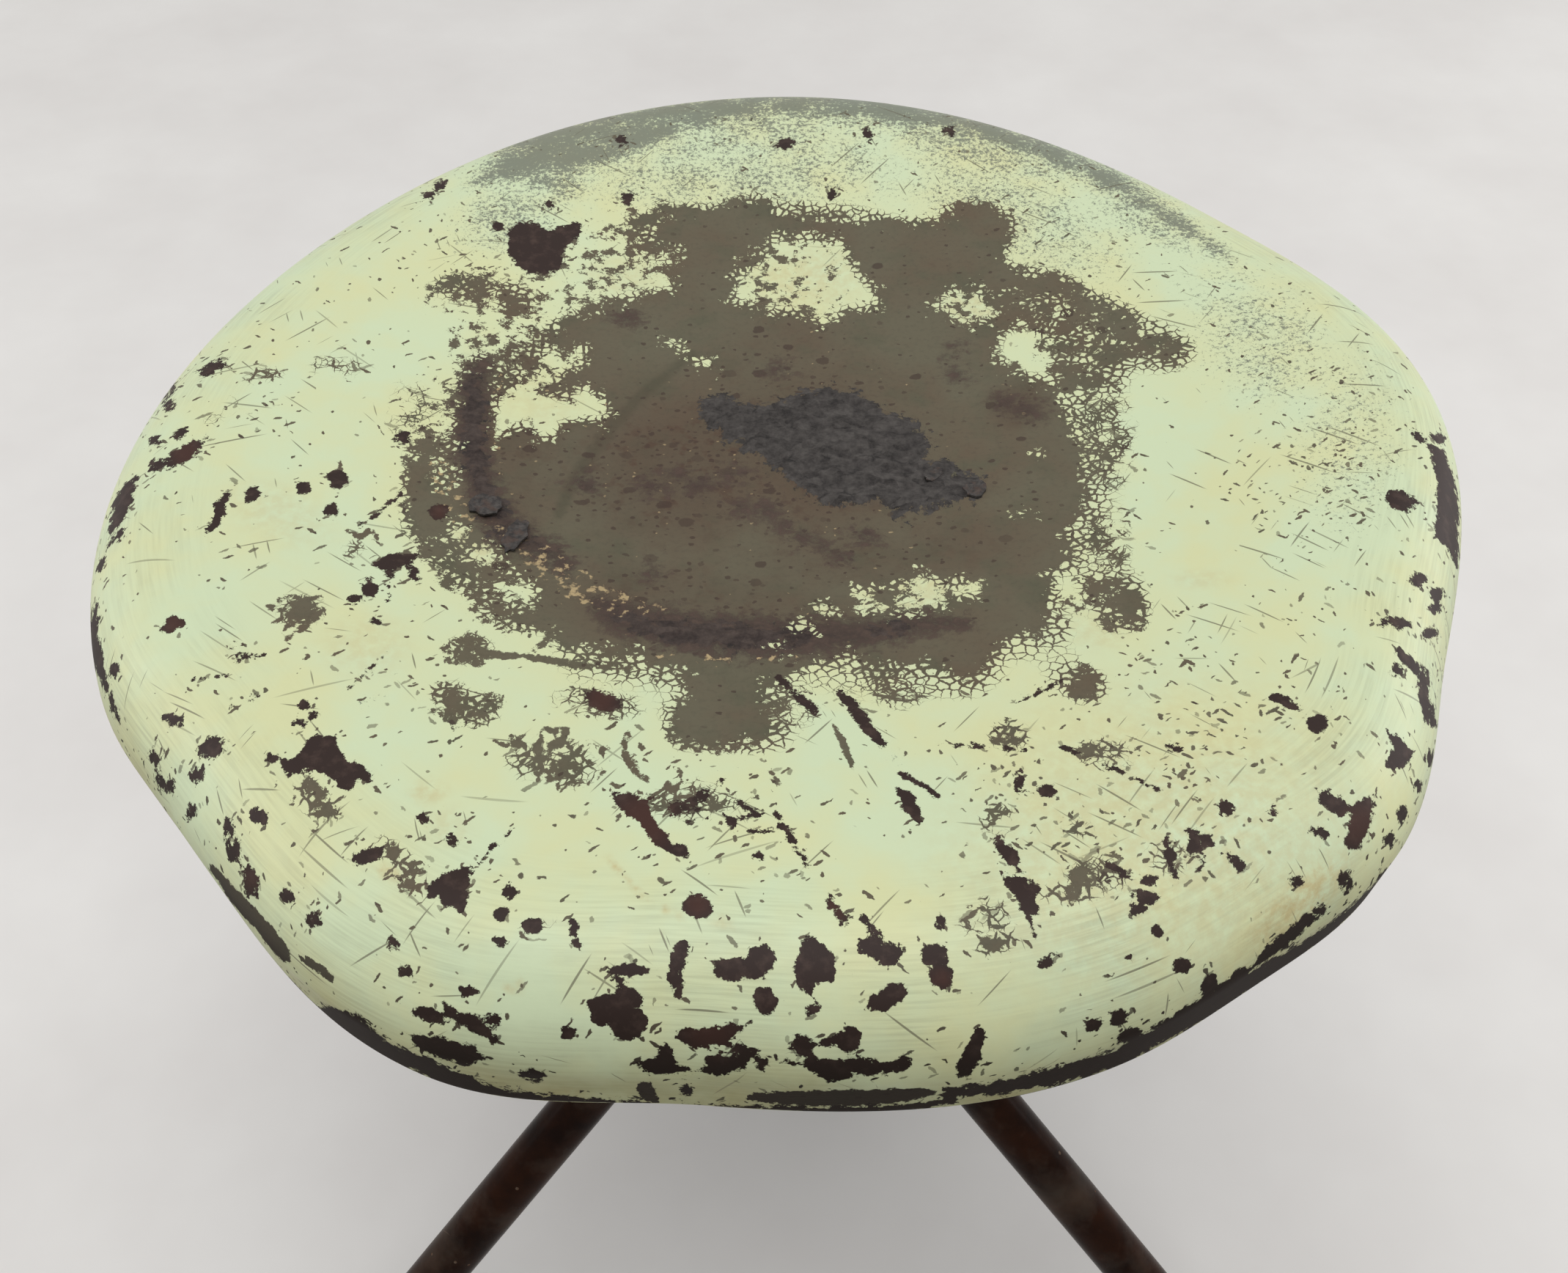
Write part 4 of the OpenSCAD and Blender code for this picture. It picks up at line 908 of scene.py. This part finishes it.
def brown_paint():
    """Dark brown gloss on the tubes and castings, chipped to primer and dusty in places."""
    made, g, shader = material("brown_paint")
    spot = g.place()
    tone = g.blend(g.use(MOTTLE, spot, size=18.0, low=0.35, high=0.7), BROWN_DARK, BROWN_WARM)
    low_wear = g.fit(g.height(spot), 20.0, 190.0, -0.7, -2.4)
    chips = g.use(RAGGED, spot, field=low_wear, grain=4.0, reach=0.55)
    specks = g.use(MARKS, spot, length=5.0, width=5.0, share=0.16, reach=0.16)
    bare = g.most(chips, specks)
    under = g.blend(g.use(MOTTLE, spot, size=2.0, low=0.4, high=0.6), BROWN_PRIMER, BROWN_RUST)
    tone = g.over(tone, under, bare)
    lines = g.use(MARKS, spot, turn=0.8, length=40.0, width=1.6, share=0.2, reach=0.12)
    tone = g.over(tone, BROWN_SCRATCH, lines, 0.4)
    dust = g.use(MOTTLE, spot, size=26.0, low=0.5, high=0.8)
    tone = g.over(tone, BROWN_DUST, dust, 0.12)
    rough = g.between(bare, g.between(dust, 0.24, 0.42), 0.7)
    finish(g, shader, tone, rough, g.less(g.times(g.noise(spot, 2.4), 0.06), g.times(bare, 0.1)))
    shader["Specular IOR Level"].default_value = 0.06
    return made


def turned_metal(name, bright, dull, tarnish, share):
    """Machined metal with fine tool lines across the bar, dulled and spotted."""
    made, g, shader = material(name)
    spot = g.place()
    tone = g.blend(g.use(MOTTLE, spot, size=12.0, low=0.35, high=0.65), bright, dull)
    bloom = g.use(MOTTLE, spot, size=5.0, low=0.7 - share, high=0.86 - share)
    tone = g.over(tone, tarnish, bloom, 0.7)
    spots = g.use(MARKS, spot, length=2.0, width=2.0, share=share, reach=0.3)
    tone = g.over(tone, tarnish, spots, 0.8)
    lines = g.noise(g.vector("MULTIPLY", spot, (0.25, 0.25, 5.0)), 1.0)
    finish(g, shader, tone, g.fit(g.plus(lines, bloom), 0.3, 1.3, 0.3, 0.62), g.times(lines, 0.03))
    g.feed(shader["Metallic"], g.between(g.most(g.times(bloom, 0.7), spots), 1.0, 0.25))
    return made


def black_rubber():
    """Matt rubber, greyed by dust and scuffed towards the floor."""
    made, g, shader = material("black_rubber")
    spot = g.place()
    tone = g.blend(g.use(MOTTLE, spot, size=9.0, low=0.35, high=0.7), RUBBER_BLACK, RUBBER_GREY)
    border = g.fit(g.height(spot), 0.0, 14.0, 0.4, -2.6)
    scuffs = g.use(RAGGED, spot, field=border, grain=3.0, reach=0.5)
    tone = g.over(tone, RUBBER_SCUFF, scuffs, 0.5)
    dust = g.use(MARKS, spot, length=1.4, width=1.4, share=0.2, reach=0.24)
    tone = g.over(tone, RUBBER_DUST, dust, 0.35)
    finish(g, shader, tone, g.between(scuffs, 0.72, 0.9), g.times(g.noise(spot, 0.7, detail=3.0), 0.1))
    return made


def knob_resin():
    """Glossy black moulded resin with faint brown swirls and fine scratches."""
    made, g, shader = material("knob_resin")
    spot = g.place()
    tone = g.blend(g.use(MOTTLE, spot, size=5.0, low=0.45, high=0.7), RESIN_BLACK, RESIN_BROWN)
    lines = g.use(MARKS, spot, turn=0.6, length=9.0, width=0.8, share=0.3, reach=0.14)
    tone = g.over(tone, RESIN_SCRATCH, lines, 0.4)
    finish(g, shader, tone, g.between(lines, 0.2, 0.5), g.times(g.noise(spot, 1.5), 0.03))
    return made


def pale_floor():
    """Matt pale floor, faintly uneven in tone."""
    made, g, shader = material("pale_floor")
    tone = g.blend(g.use(MOTTLE, g.place(), size=160.0, low=0.3, high=0.7), FLOOR_PALE, FLOOR_GREY)
    g.feed(shader["Base Color"], tone)
    shader["Roughness"].default_value = 0.85
    return made


def show(name, data, *finishes):
    """A new object in the scene, with its data and its finishes."""
    for made in finishes:
        data.materials.append(made)
    holder = bpy.data.objects.new(name, data)
    bpy.context.scene.collection.objects.link(holder)
    return holder


def to_mesh(name, bm):
    """The bmesh as a mesh."""
    mesh = bpy.data.meshes.new(name)
    bm.to_mesh(mesh)
    bm.free()
    return mesh


def close_up(bm):
    """Merges double points and turns the faces outward."""
    bmesh.ops.remove_doubles(bm, verts=bm.verts[:], dist=MERGE)
    bmesh.ops.recalc_face_normals(bm, faces=bm.faces[:])


def smooth_step(step):
    return step * step * (3 - 2 * step)


def dish_drop(radius):
    """How far the dish lies below the crest at a radius."""
    share = min(1.0, radius / CREST_R)
    return DISH_DEPTH * (1 + math.cos(math.pi * share ** DISH_POWER)) / 2


def fade(share):
    """Share of the lobes that the dish takes on, from none in the middle to all at the crest."""
    return smooth_step(min(1.0, max(0.0, (share - FADE_FROM) / (1 - FADE_FROM))))


def seat_section():
    """The sheet's section, outside and inside: stations of radius, height and share of the lobes."""
    edge_r = SEAT_R - SKIRT_LEAN
    edge_z = CREST - SKIRT_H
    tip = edge_r - CURL_W
    low = edge_z - CURL_DROP
    roll_z = CREST - ROLL_H
    straight = SKIRT_H - ROLL_H

    def side(dish_rings, roll_rings, skirt_rings, inset):
        shares = [k / dish_rings for k in range(dish_rings)]
        dish = [(s * CREST_R, CREST - dish_drop(s * CREST_R) - inset, fade(s)) for s in shares]
        wide, tall = RIM_W - inset, ROLL_H - inset
        turns = [math.pi / 2 * k / roll_rings for k in range(roll_rings)]
        roll = [(CREST_R + wide * math.sin(a), roll_z + tall * math.cos(a), 1) for a in turns]
        drops = [k / skirt_rings for k in range(skirt_rings)]
        skirt = [(SEAT_R - inset - SKIRT_LEAN * d, roll_z - straight * d, 1) for d in drops]
        return dish + roll + skirt

    turns = [math.pi / 2 * k / CURL_RINGS for k in range(CURL_RINGS + 1)]
    curl = [(edge_r - CURL_DROP * (1 - math.cos(a)), edge_z - CURL_DROP * math.sin(a), 1) for a in turns]
    lip = [
        (tip + LIP_ROUND, low, 1), (tip, low + LIP_ROUND, 1), (tip, low + SHEET_T - LIP_ROUND, 1),
        (tip + LIP_ROUND, low + SHEET_T, 1), (edge_r - CURL_DROP, low + SHEET_T, 1),
    ]
    outside = side(DISH_RINGS, ROLL_RINGS, SKIRT_RINGS, 0) + curl + lip
    inside = side(INSIDE_DISH_RINGS, INSIDE_ROLL_RINGS, INSIDE_SKIRT_RINGS, SHEET_T)
    return outside, [(edge_r - SHEET_T, edge_z, 1)] + inside[::-1]


def lobe(bearings):
    """Reach of the beaten outline beyond the mean radius, at bearings in degrees from +X."""
    turns, reaches = np.array(LOBES, float).T
    here = (np.searchsorted(turns, bearings, side="right") - 1) % len(LOBES)
    after = (here + 1) % len(LOBES)
    share = ((bearings - turns[here]) % 360) / ((turns[after] - turns[here]) % 360)
    ease = (1 - np.cos(np.pi * share)) / 2
    return reaches[here] + (reaches[after] - reaches[here]) * ease


def rolled_sheet(stations, lengths):
    """A grid rolled round the post's axis, with the arc length and the share of the lobes on its points."""
    bm = bmesh.new()
    arc = bm.verts.layers.float.new("arc")
    sway = bm.verts.layers.float.new("sway")
    last = len(stations) - 1
    bmesh.ops.create_grid(bm, x_segments=last, y_segments=SEAT_STEPS, size=1)
    for vert in bm.verts:
        station = round((vert.co.x + 1) / 2 * last)
        turn = (vert.co.y + 1) / 2 * math.tau
        radius, height, share = stations[station]
        vert.co = Vector((radius * math.cos(turn), radius * math.sin(turn), height)) * MM
        vert[arc] = lengths[station]
        vert[sway] = share
    close_up(bm)
    for face in bm.faces:
        face.smooth = True
    return to_mesh("seat_enamelled", bm)


def read_points(mesh, name):
    """A vector of every point of the mesh, its place or its normal."""
    values = np.empty(len(mesh.vertices) * 3, np.float32)
    mesh.vertices.foreach_get(name, values)
    return values.reshape(-1, 3).astype(float)


def move_points(mesh, points):
    mesh.vertices.foreach_set("co", points.astype(np.float32).ravel())
    mesh.update()


def read_values(mesh, name):
    values = np.empty(len(mesh.vertices), np.float32)
    mesh.attributes[name].data.foreach_get("value", values)
    return values.astype(float)


def lay_values(mesh, name, values):
    mesh.attributes.new(name, "FLOAT", "POINT").data.foreach_set("value", values.astype(np.float32))


def bearings_of(points):
    return np.degrees(np.arctan2(points[:, 1], points[:, 0])) % 360


def facing_eye(mesh, points):
    """Which points of the mesh are turned towards the camera."""
    return np.einsum("ij,ij->i", read_points(mesh, "normal"), np.array(EYE) - points) > 0


def in_photo(points):
    """Pixels of the photograph at which points of the seat show."""
    away = points - np.array(EYE)
    deep = away[:, 1] * math.cos(LOOK_DOWN) - away[:, 2] * math.sin(LOOK_DOWN)
    rise = away[:, 1] * math.sin(LOOK_DOWN) + away[:, 2] * math.cos(LOOK_DOWN)
    across = PHOTO_W / 2 + FOCAL_PX * away[:, 0] / deep
    down = PHOTO_H / 2 - FOCAL_PX * rise / deep
    return np.stack([across, down], axis=1)


def oval(spots, x, y, half_x, half_y, turn=0):
    """Distance from the middle of an oval, 1 on its edge."""
    angle = math.radians(turn)
    dx, dy = spots[:, 0] - x, spots[:, 1] - y
    along = dx * math.cos(angle) + dy * math.sin(angle)
    across = dy * math.cos(angle) - dx * math.sin(angle)
    return np.hypot(along / half_x, across / half_y)


def segment_distance(spots, start, end):
    """Distance of each spot from a segment, and where along it the nearest point lies, 0 to 1."""
    run = np.subtract(end, start).astype(float)
    along = np.clip((spots - start) @ run / (run @ run), 0, 1)
    return np.hypot(*(spots - start - along[:, None] * run).T), along


def stroke_field(spots, stroke):
    """How far inside a stroke each spot lies, negative outside."""
    best = np.full(len(spots), FAR_OUTSIDE)
    for (x0, y0, w0), (x1, y1, w1) in zip(stroke, stroke[1:]):
        away, along = segment_distance(spots, (x0, y0), (x1, y1))
        best = np.maximum(best, w0 + (w1 - w0) * along - away)
    return best


def outline_field(spots, outline):
    """How far inside a closed outline each spot lies, negative outside."""
    nearest = np.full(len(spots), FAR)
    inside = np.zeros(len(spots), bool)
    x, y = spots.T
    for (x0, y0), (x1, y1) in zip(outline, outline[1:] + outline[:1]):
        nearest = np.minimum(nearest, segment_distance(spots, (x0, y0), (x1, y1))[0])
        if y0 != y1:
            inside ^= ((y0 > y) != (y1 > y)) & (x < x0 + (x1 - x0) * (y - y0) / (y1 - y0))
    return np.where(inside, nearest, -nearest)


def field(spots, outlines=(), ovals=(), strokes=()):
    """How far inside any of the shapes each spot lies, negative outside."""
    best = np.full(len(spots), FAR_OUTSIDE)
    for outline in outlines:
        best = np.maximum(best, outline_field(spots, outline))
    for shape in ovals:
        best = np.maximum(best, (1 - oval(spots, *shape)) * min(shape[2:4]))
    for stroke in strokes:
        best = np.maximum(best, stroke_field(spots, stroke))
    return best


def ramp(values, width, start):
    """A share from 0 to 1 that rises over a width, with the start where the values are 0."""
    return np.clip(values / width + start, 0, 1)


def zone_level(spots, zones):
    """Soft strength of the zones at each spot."""
    best = np.zeros(len(spots))
    for x, y, half_x, half_y, strength, *turn in zones:
        share = np.clip(ZONE_GAIN * (1 - oval(spots, x, y, half_x, half_y, *turn)), 0, 1)
        best = np.maximum(best, strength * smooth_step(share))
    return best


def back_chips(points):
    """Chips on the side of the skirt that the photograph doesn't show, in millimetres."""
    draw = random.Random(BACK_SEED)
    along = np.radians(bearings_of(points)) * SEAT_R
    spots = np.stack([along, points[:, 2] / MM], axis=1)
    ovals = []
    for _ in range(BACK_CHIPS):
        size = draw.choice(BACK_SIZES)
        height = CREST - SKIRT_H * draw.random() ** BACK_LOW
        place = draw.uniform(0, math.tau) * SEAT_R
        half_long = size * draw.uniform(1, BACK_LONGEST)
        ovals.append((place, height, half_long, size, draw.uniform(-BACK_TURN, BACK_TURN)))
    wave = sum(tall * np.sin(along / long + shift) for tall, long, shift in BACK_WAVES)
    edge = CREST - SKIRT_H - BACK_EDGE + wave - spots[:, 1]
    return np.maximum(field(spots, ovals=ovals), edge)


def lay_wear(mesh):
    """Lays the seat's wear on its points: edges as fields in millimetres, soft zones as levels."""
    points = read_points(mesh, "co")
    facing = facing_eye(mesh, points)
    spots = in_photo(points)
    ring_left = RUST_RING[:1]

    left = field(spots, ISLANDS, ISLAND_SPOTS)
    middle = np.minimum(field(spots, [WORN]), -left)
    grown = [(x, y, half_x + SPOT_GROWTH, half_y + SPOT_GROWTH, *turn)
             for x, y, half_x, half_y, *turn in CHIP_SPOTS]
    edges = {
        "worn": np.maximum(middle, field(spots, WORN_PATCHES, WORN_SPOTS, ring_left)),
        "foot": field(spots, strokes=FOOT_STROKES),
        "crust": field(spots, [CRUST], FLAKES, RING_SCALE),
        "ring": field(spots, ovals=SCALE_SPOTS, strokes=RUST_RING),
        "chip": field(spots, CHIPS, grown, CHIP_STROKES),
    }
    hidden = {name: -FIELD_REACH for name in edges}
    hidden["chip"] = back_chips(points)
    for name, edge in edges.items():
        reached = np.clip(edge / PX_PER_MM, -FIELD_REACH, FIELD_REACH)
        lay_values(mesh, name, np.where(facing, reached, hidden[name]))

    red = [(x, y, size, size, 1.0) for x, y, size in RED_SPOTS]
    zones = {"rust": RUST_ZONES, "grit": GRIT_ZONES, "net": NET_ZONES, "lace": LACE_ZONES,
             "rub": RUB_ZONES, "stain": STAIN_ZONES, "red": red, "scuff": SCUFF_ZONES}
    levels = {name: zone_level(spots, places) for name, places in zones.items()}
    levels["fringe"] = ramp(field(spots, strokes=FRINGE_STROKES), *FRINGE_RISE)
    levels["dim"] = ramp(field(spots, strokes=[DIM_ARC]), *DIM_RISE)
    # Band along the far edge: rubbed enamel, and painted shade where the rim curves away
    rub_and_shade_band = RUB_AND_SHADE_BAND_STRENGTH * ramp(field(spots, strokes=[RUB_AND_SHADE_BAND]), *RUB_AND_SHADE_RISE)
    levels["rub"] = np.maximum(levels["rub"], rub_and_shade_band)
    levels["grit"] *= 1 - ramp(field(spots, strokes=ring_left), *SMOOTH_RISE)
    levels["scuff"] = np.maximum(levels["scuff"], SCUFF_LEAST)
    for name, level in levels.items():
        lay_values(mesh, name, np.where(facing, level, SCUFF_BACK if name == "scuff" else 0))


def raise_scale(mesh):
    """Lifts the flaked scale off the sheet, in lumps."""
    points = read_points(mesh, "co")
    crust = ramp(read_values(mesh, "crust"), *CRUST_RISE)
    ring = ramp(read_values(mesh, "ring"), *RING_RISE)
    lift = np.maximum(crust, RING_LIFT * ring)
    for k in np.flatnonzero(lift > 0):
        spot = Vector(points[k]) / (LUMP * MM)
        fine = FINE_SWING * noise.noise(spot * FINE_PITCH)
        lumps = LUMP_MEAN + LUMP_SWING * noise.noise(spot) + fine
        points[k, 2] += lift[k] * max(LUMP_LEAST, lumps) * SCALE_LIFT * MM
    move_points(mesh, points)


def seat_enamelled():
    """The pressed seat, beaten into lobes and worn."""
    outside, inside = seat_section()
    stations = outside + inside
    lengths = [0.0]
    for (r0, z0, _), (r1, z1, _) in zip(stations, stations[1:]):
        lengths.append(lengths[-1] + math.hypot(r1 - r0, z1 - z0))
    mesh = rolled_sheet(stations, lengths)

    points = read_points(mesh, "co")
    radii = np.hypot(points[:, 0], points[:, 1])
    grown = radii + read_values(mesh, "sway") * lobe(bearings_of(points)) * MM
    points[:, :2] *= np.where(radii > AXIS, grown / np.maximum(radii, AXIS), 1.0)[:, None]
    move_points(mesh, points)
    lay_wear(mesh)
    raise_scale(mesh)

    seat = show("seat_enamelled", mesh, worn_enamel(), pan_inside())
    arc = read_values(mesh, "arc")
    underside = round(lengths[len(outside) - 2], 3)
    for face in mesh.polygons:
        if min(arc[v] for v in face.vertices) >= underside:
            face.material_index = 1
    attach(seat, "seat")
    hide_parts("seat_pan")
    return seat


def flake(bm, draw, half_x, half_y):
    """Adds one curled flake at the origin, in millimetres, and returns its points."""
    rim = bmesh.ops.create_circle(bm, cap_ends=True, segments=FLAKE_CORNERS, radius=1.0)["verts"]
    for vert in rim:
        vert.co *= draw.uniform(*FLAKE_UNEVEN)
    plate = list({face for vert in rim for face in vert.link_faces})
    bmesh.ops.inset_region(bm, faces=plate, thickness=FLAKE_INSET, use_even_offset=True)
    whole = list({face for vert in rim for face in vert.link_faces} | set(plate))
    top = bmesh.ops.extrude_face_region(bm, geom=whole)["geom"]
    raised = [item for item in top if isinstance(item, bmesh.types.BMVert)]
    bmesh.ops.translate(bm, verts=raised, vec=(0, 0, FLAKE_THICK))
    flat = [vert for face in plate if face.is_valid for vert in face.verts]
    every = list(set(rim + raised + flat))
    for vert in every:
        reach = vert.co.y + FLAKE_SKEW * vert.co.x
        vert.co.z += FLAKE_CURL * max(0.0, -reach) ** FLAKE_POWER - FLAKE_SUNK
        vert.co.x *= half_x
        vert.co.y *= half_y
    return every


def scale_flakes(seat):
    """Flakes of scale that curl up off the seat, one edge held."""
    points = read_points(seat.data, "co")
    normals = read_points(seat.data, "normal")
    spots = in_photo(points)
    facing = facing_eye(seat.data, points)
    draw = random.Random(FLAKE_SEED)
    bm = bmesh.new()
    for x, y, half_long, half_wide, turn in FLAKES:
        nearest = np.argmin(np.where(facing, np.hypot(spots[:, 0] - x, spots[:, 1] - y), FAR))
        made = flake(bm, draw, half_long / PX_PER_MM, half_wide * FLAKE_WIDER / PX_PER_MM)
        sit = Vector(normals[nearest]).to_track_quat("Z", "Y").to_matrix().to_4x4()
        turned = Matrix.Rotation(math.radians(-turn), 4, "Z")
        place = Matrix.Translation(Vector(points[nearest])) @ sit @ turned
        bmesh.ops.transform(bm, matrix=place @ Matrix.Scale(MM, 4), verts=made)
    close_up(bm)
    flakes = show("scale_flakes", to_mesh("scale_flakes", bm), loose_scale())
    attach(flakes, "seat")


def dress_frame():
    """Gives every remaining solid of the frame its finish, by the slot that the record names for it."""
    finishes = {
        "brown_paint": brown_paint(),
        "rubber": black_rubber(),
        "knob_plastic": knob_resin(),
        "seat_enamel": bpy.data.materials["worn_enamel"],
    }
    for metal, values in METALS.items():
        finishes[metal] = turned_metal("dull_" + metal, *values)
    for part in frame["record"]["subparts"]:
        solid = frame["nodes"][part["node"]]
        look = finishes[part["material_slot"]]
        if not solid.material_slots:
            solid.data.materials.append(look)
        for slot in solid.material_slots:
            slot.material = look


def lamp(name, kind, place, towards, **settings):
    """A lamp at a place, turned towards a direction."""
    light = bpy.data.lights.new(name, kind)
    for key, value in settings.items():
        setattr(light, key, value)
    holder = show(name, light)
    holder.location = place
    holder.rotation_euler = towards.to_track_quat("-Z", "Y").to_euler()


def sky():
    """An even white sky, weak as a light and brighter where it is seen."""
    world = bpy.data.worlds.new("sky")
    world.use_nodes = True
    g = Graph(world.node_tree)
    seen = g.add("ShaderNodeLightPath").outputs
    direct = g.most(seen["Is Camera Ray"], seen["Is Glossy Ray"], seen["Is Transmission Ray"])
    backdrop = world.node_tree.nodes["Background"].inputs
    backdrop["Color"].default_value = (1.0, 1.0, 1.0, 1.0)
    g.feed(backdrop["Strength"], g.between(direct, SKY_STRENGTH, BACKDROP_STRENGTH))
    return world


def studio():
    """Pale floor, soft lamps, an even sky, and the camera where the photograph was taken from."""
    bm = bmesh.new()
    bmesh.ops.create_grid(bm, x_segments=1, y_segments=1, size=FLOOR_HALF)
    floor = show("floor", to_mesh("floor", bm), pale_floor())

    spread = math.radians(OVERHEAD_SPREAD)
    lamp("overhead", "SUN", Vector(), -OVERHEAD_FROM, energy=OVERHEAD_STRENGTH, angle=spread)
    aim = Vector((0, 0, CREST * MM))
    for name, (place, size, power) in LAMPS.items():
        lamp(name, "AREA", place, aim - place, energy=power, size=size)
    scene = bpy.context.scene
    scene.world = sky()
    scene.view_settings.view_transform = "Standard"

    camera = bpy.data.cameras.new("camera")
    camera.sensor_width = SENSOR
    camera.lens = SENSOR * FOCAL_PX / PHOTO_W
    scene.camera = show("camera", camera)
    scene.camera.location = EYE
    scene.camera.rotation_euler = (math.pi / 2 - LOOK_DOWN, 0, 0)


studio()
scale_flakes(seat_enamelled())
dress_frame()
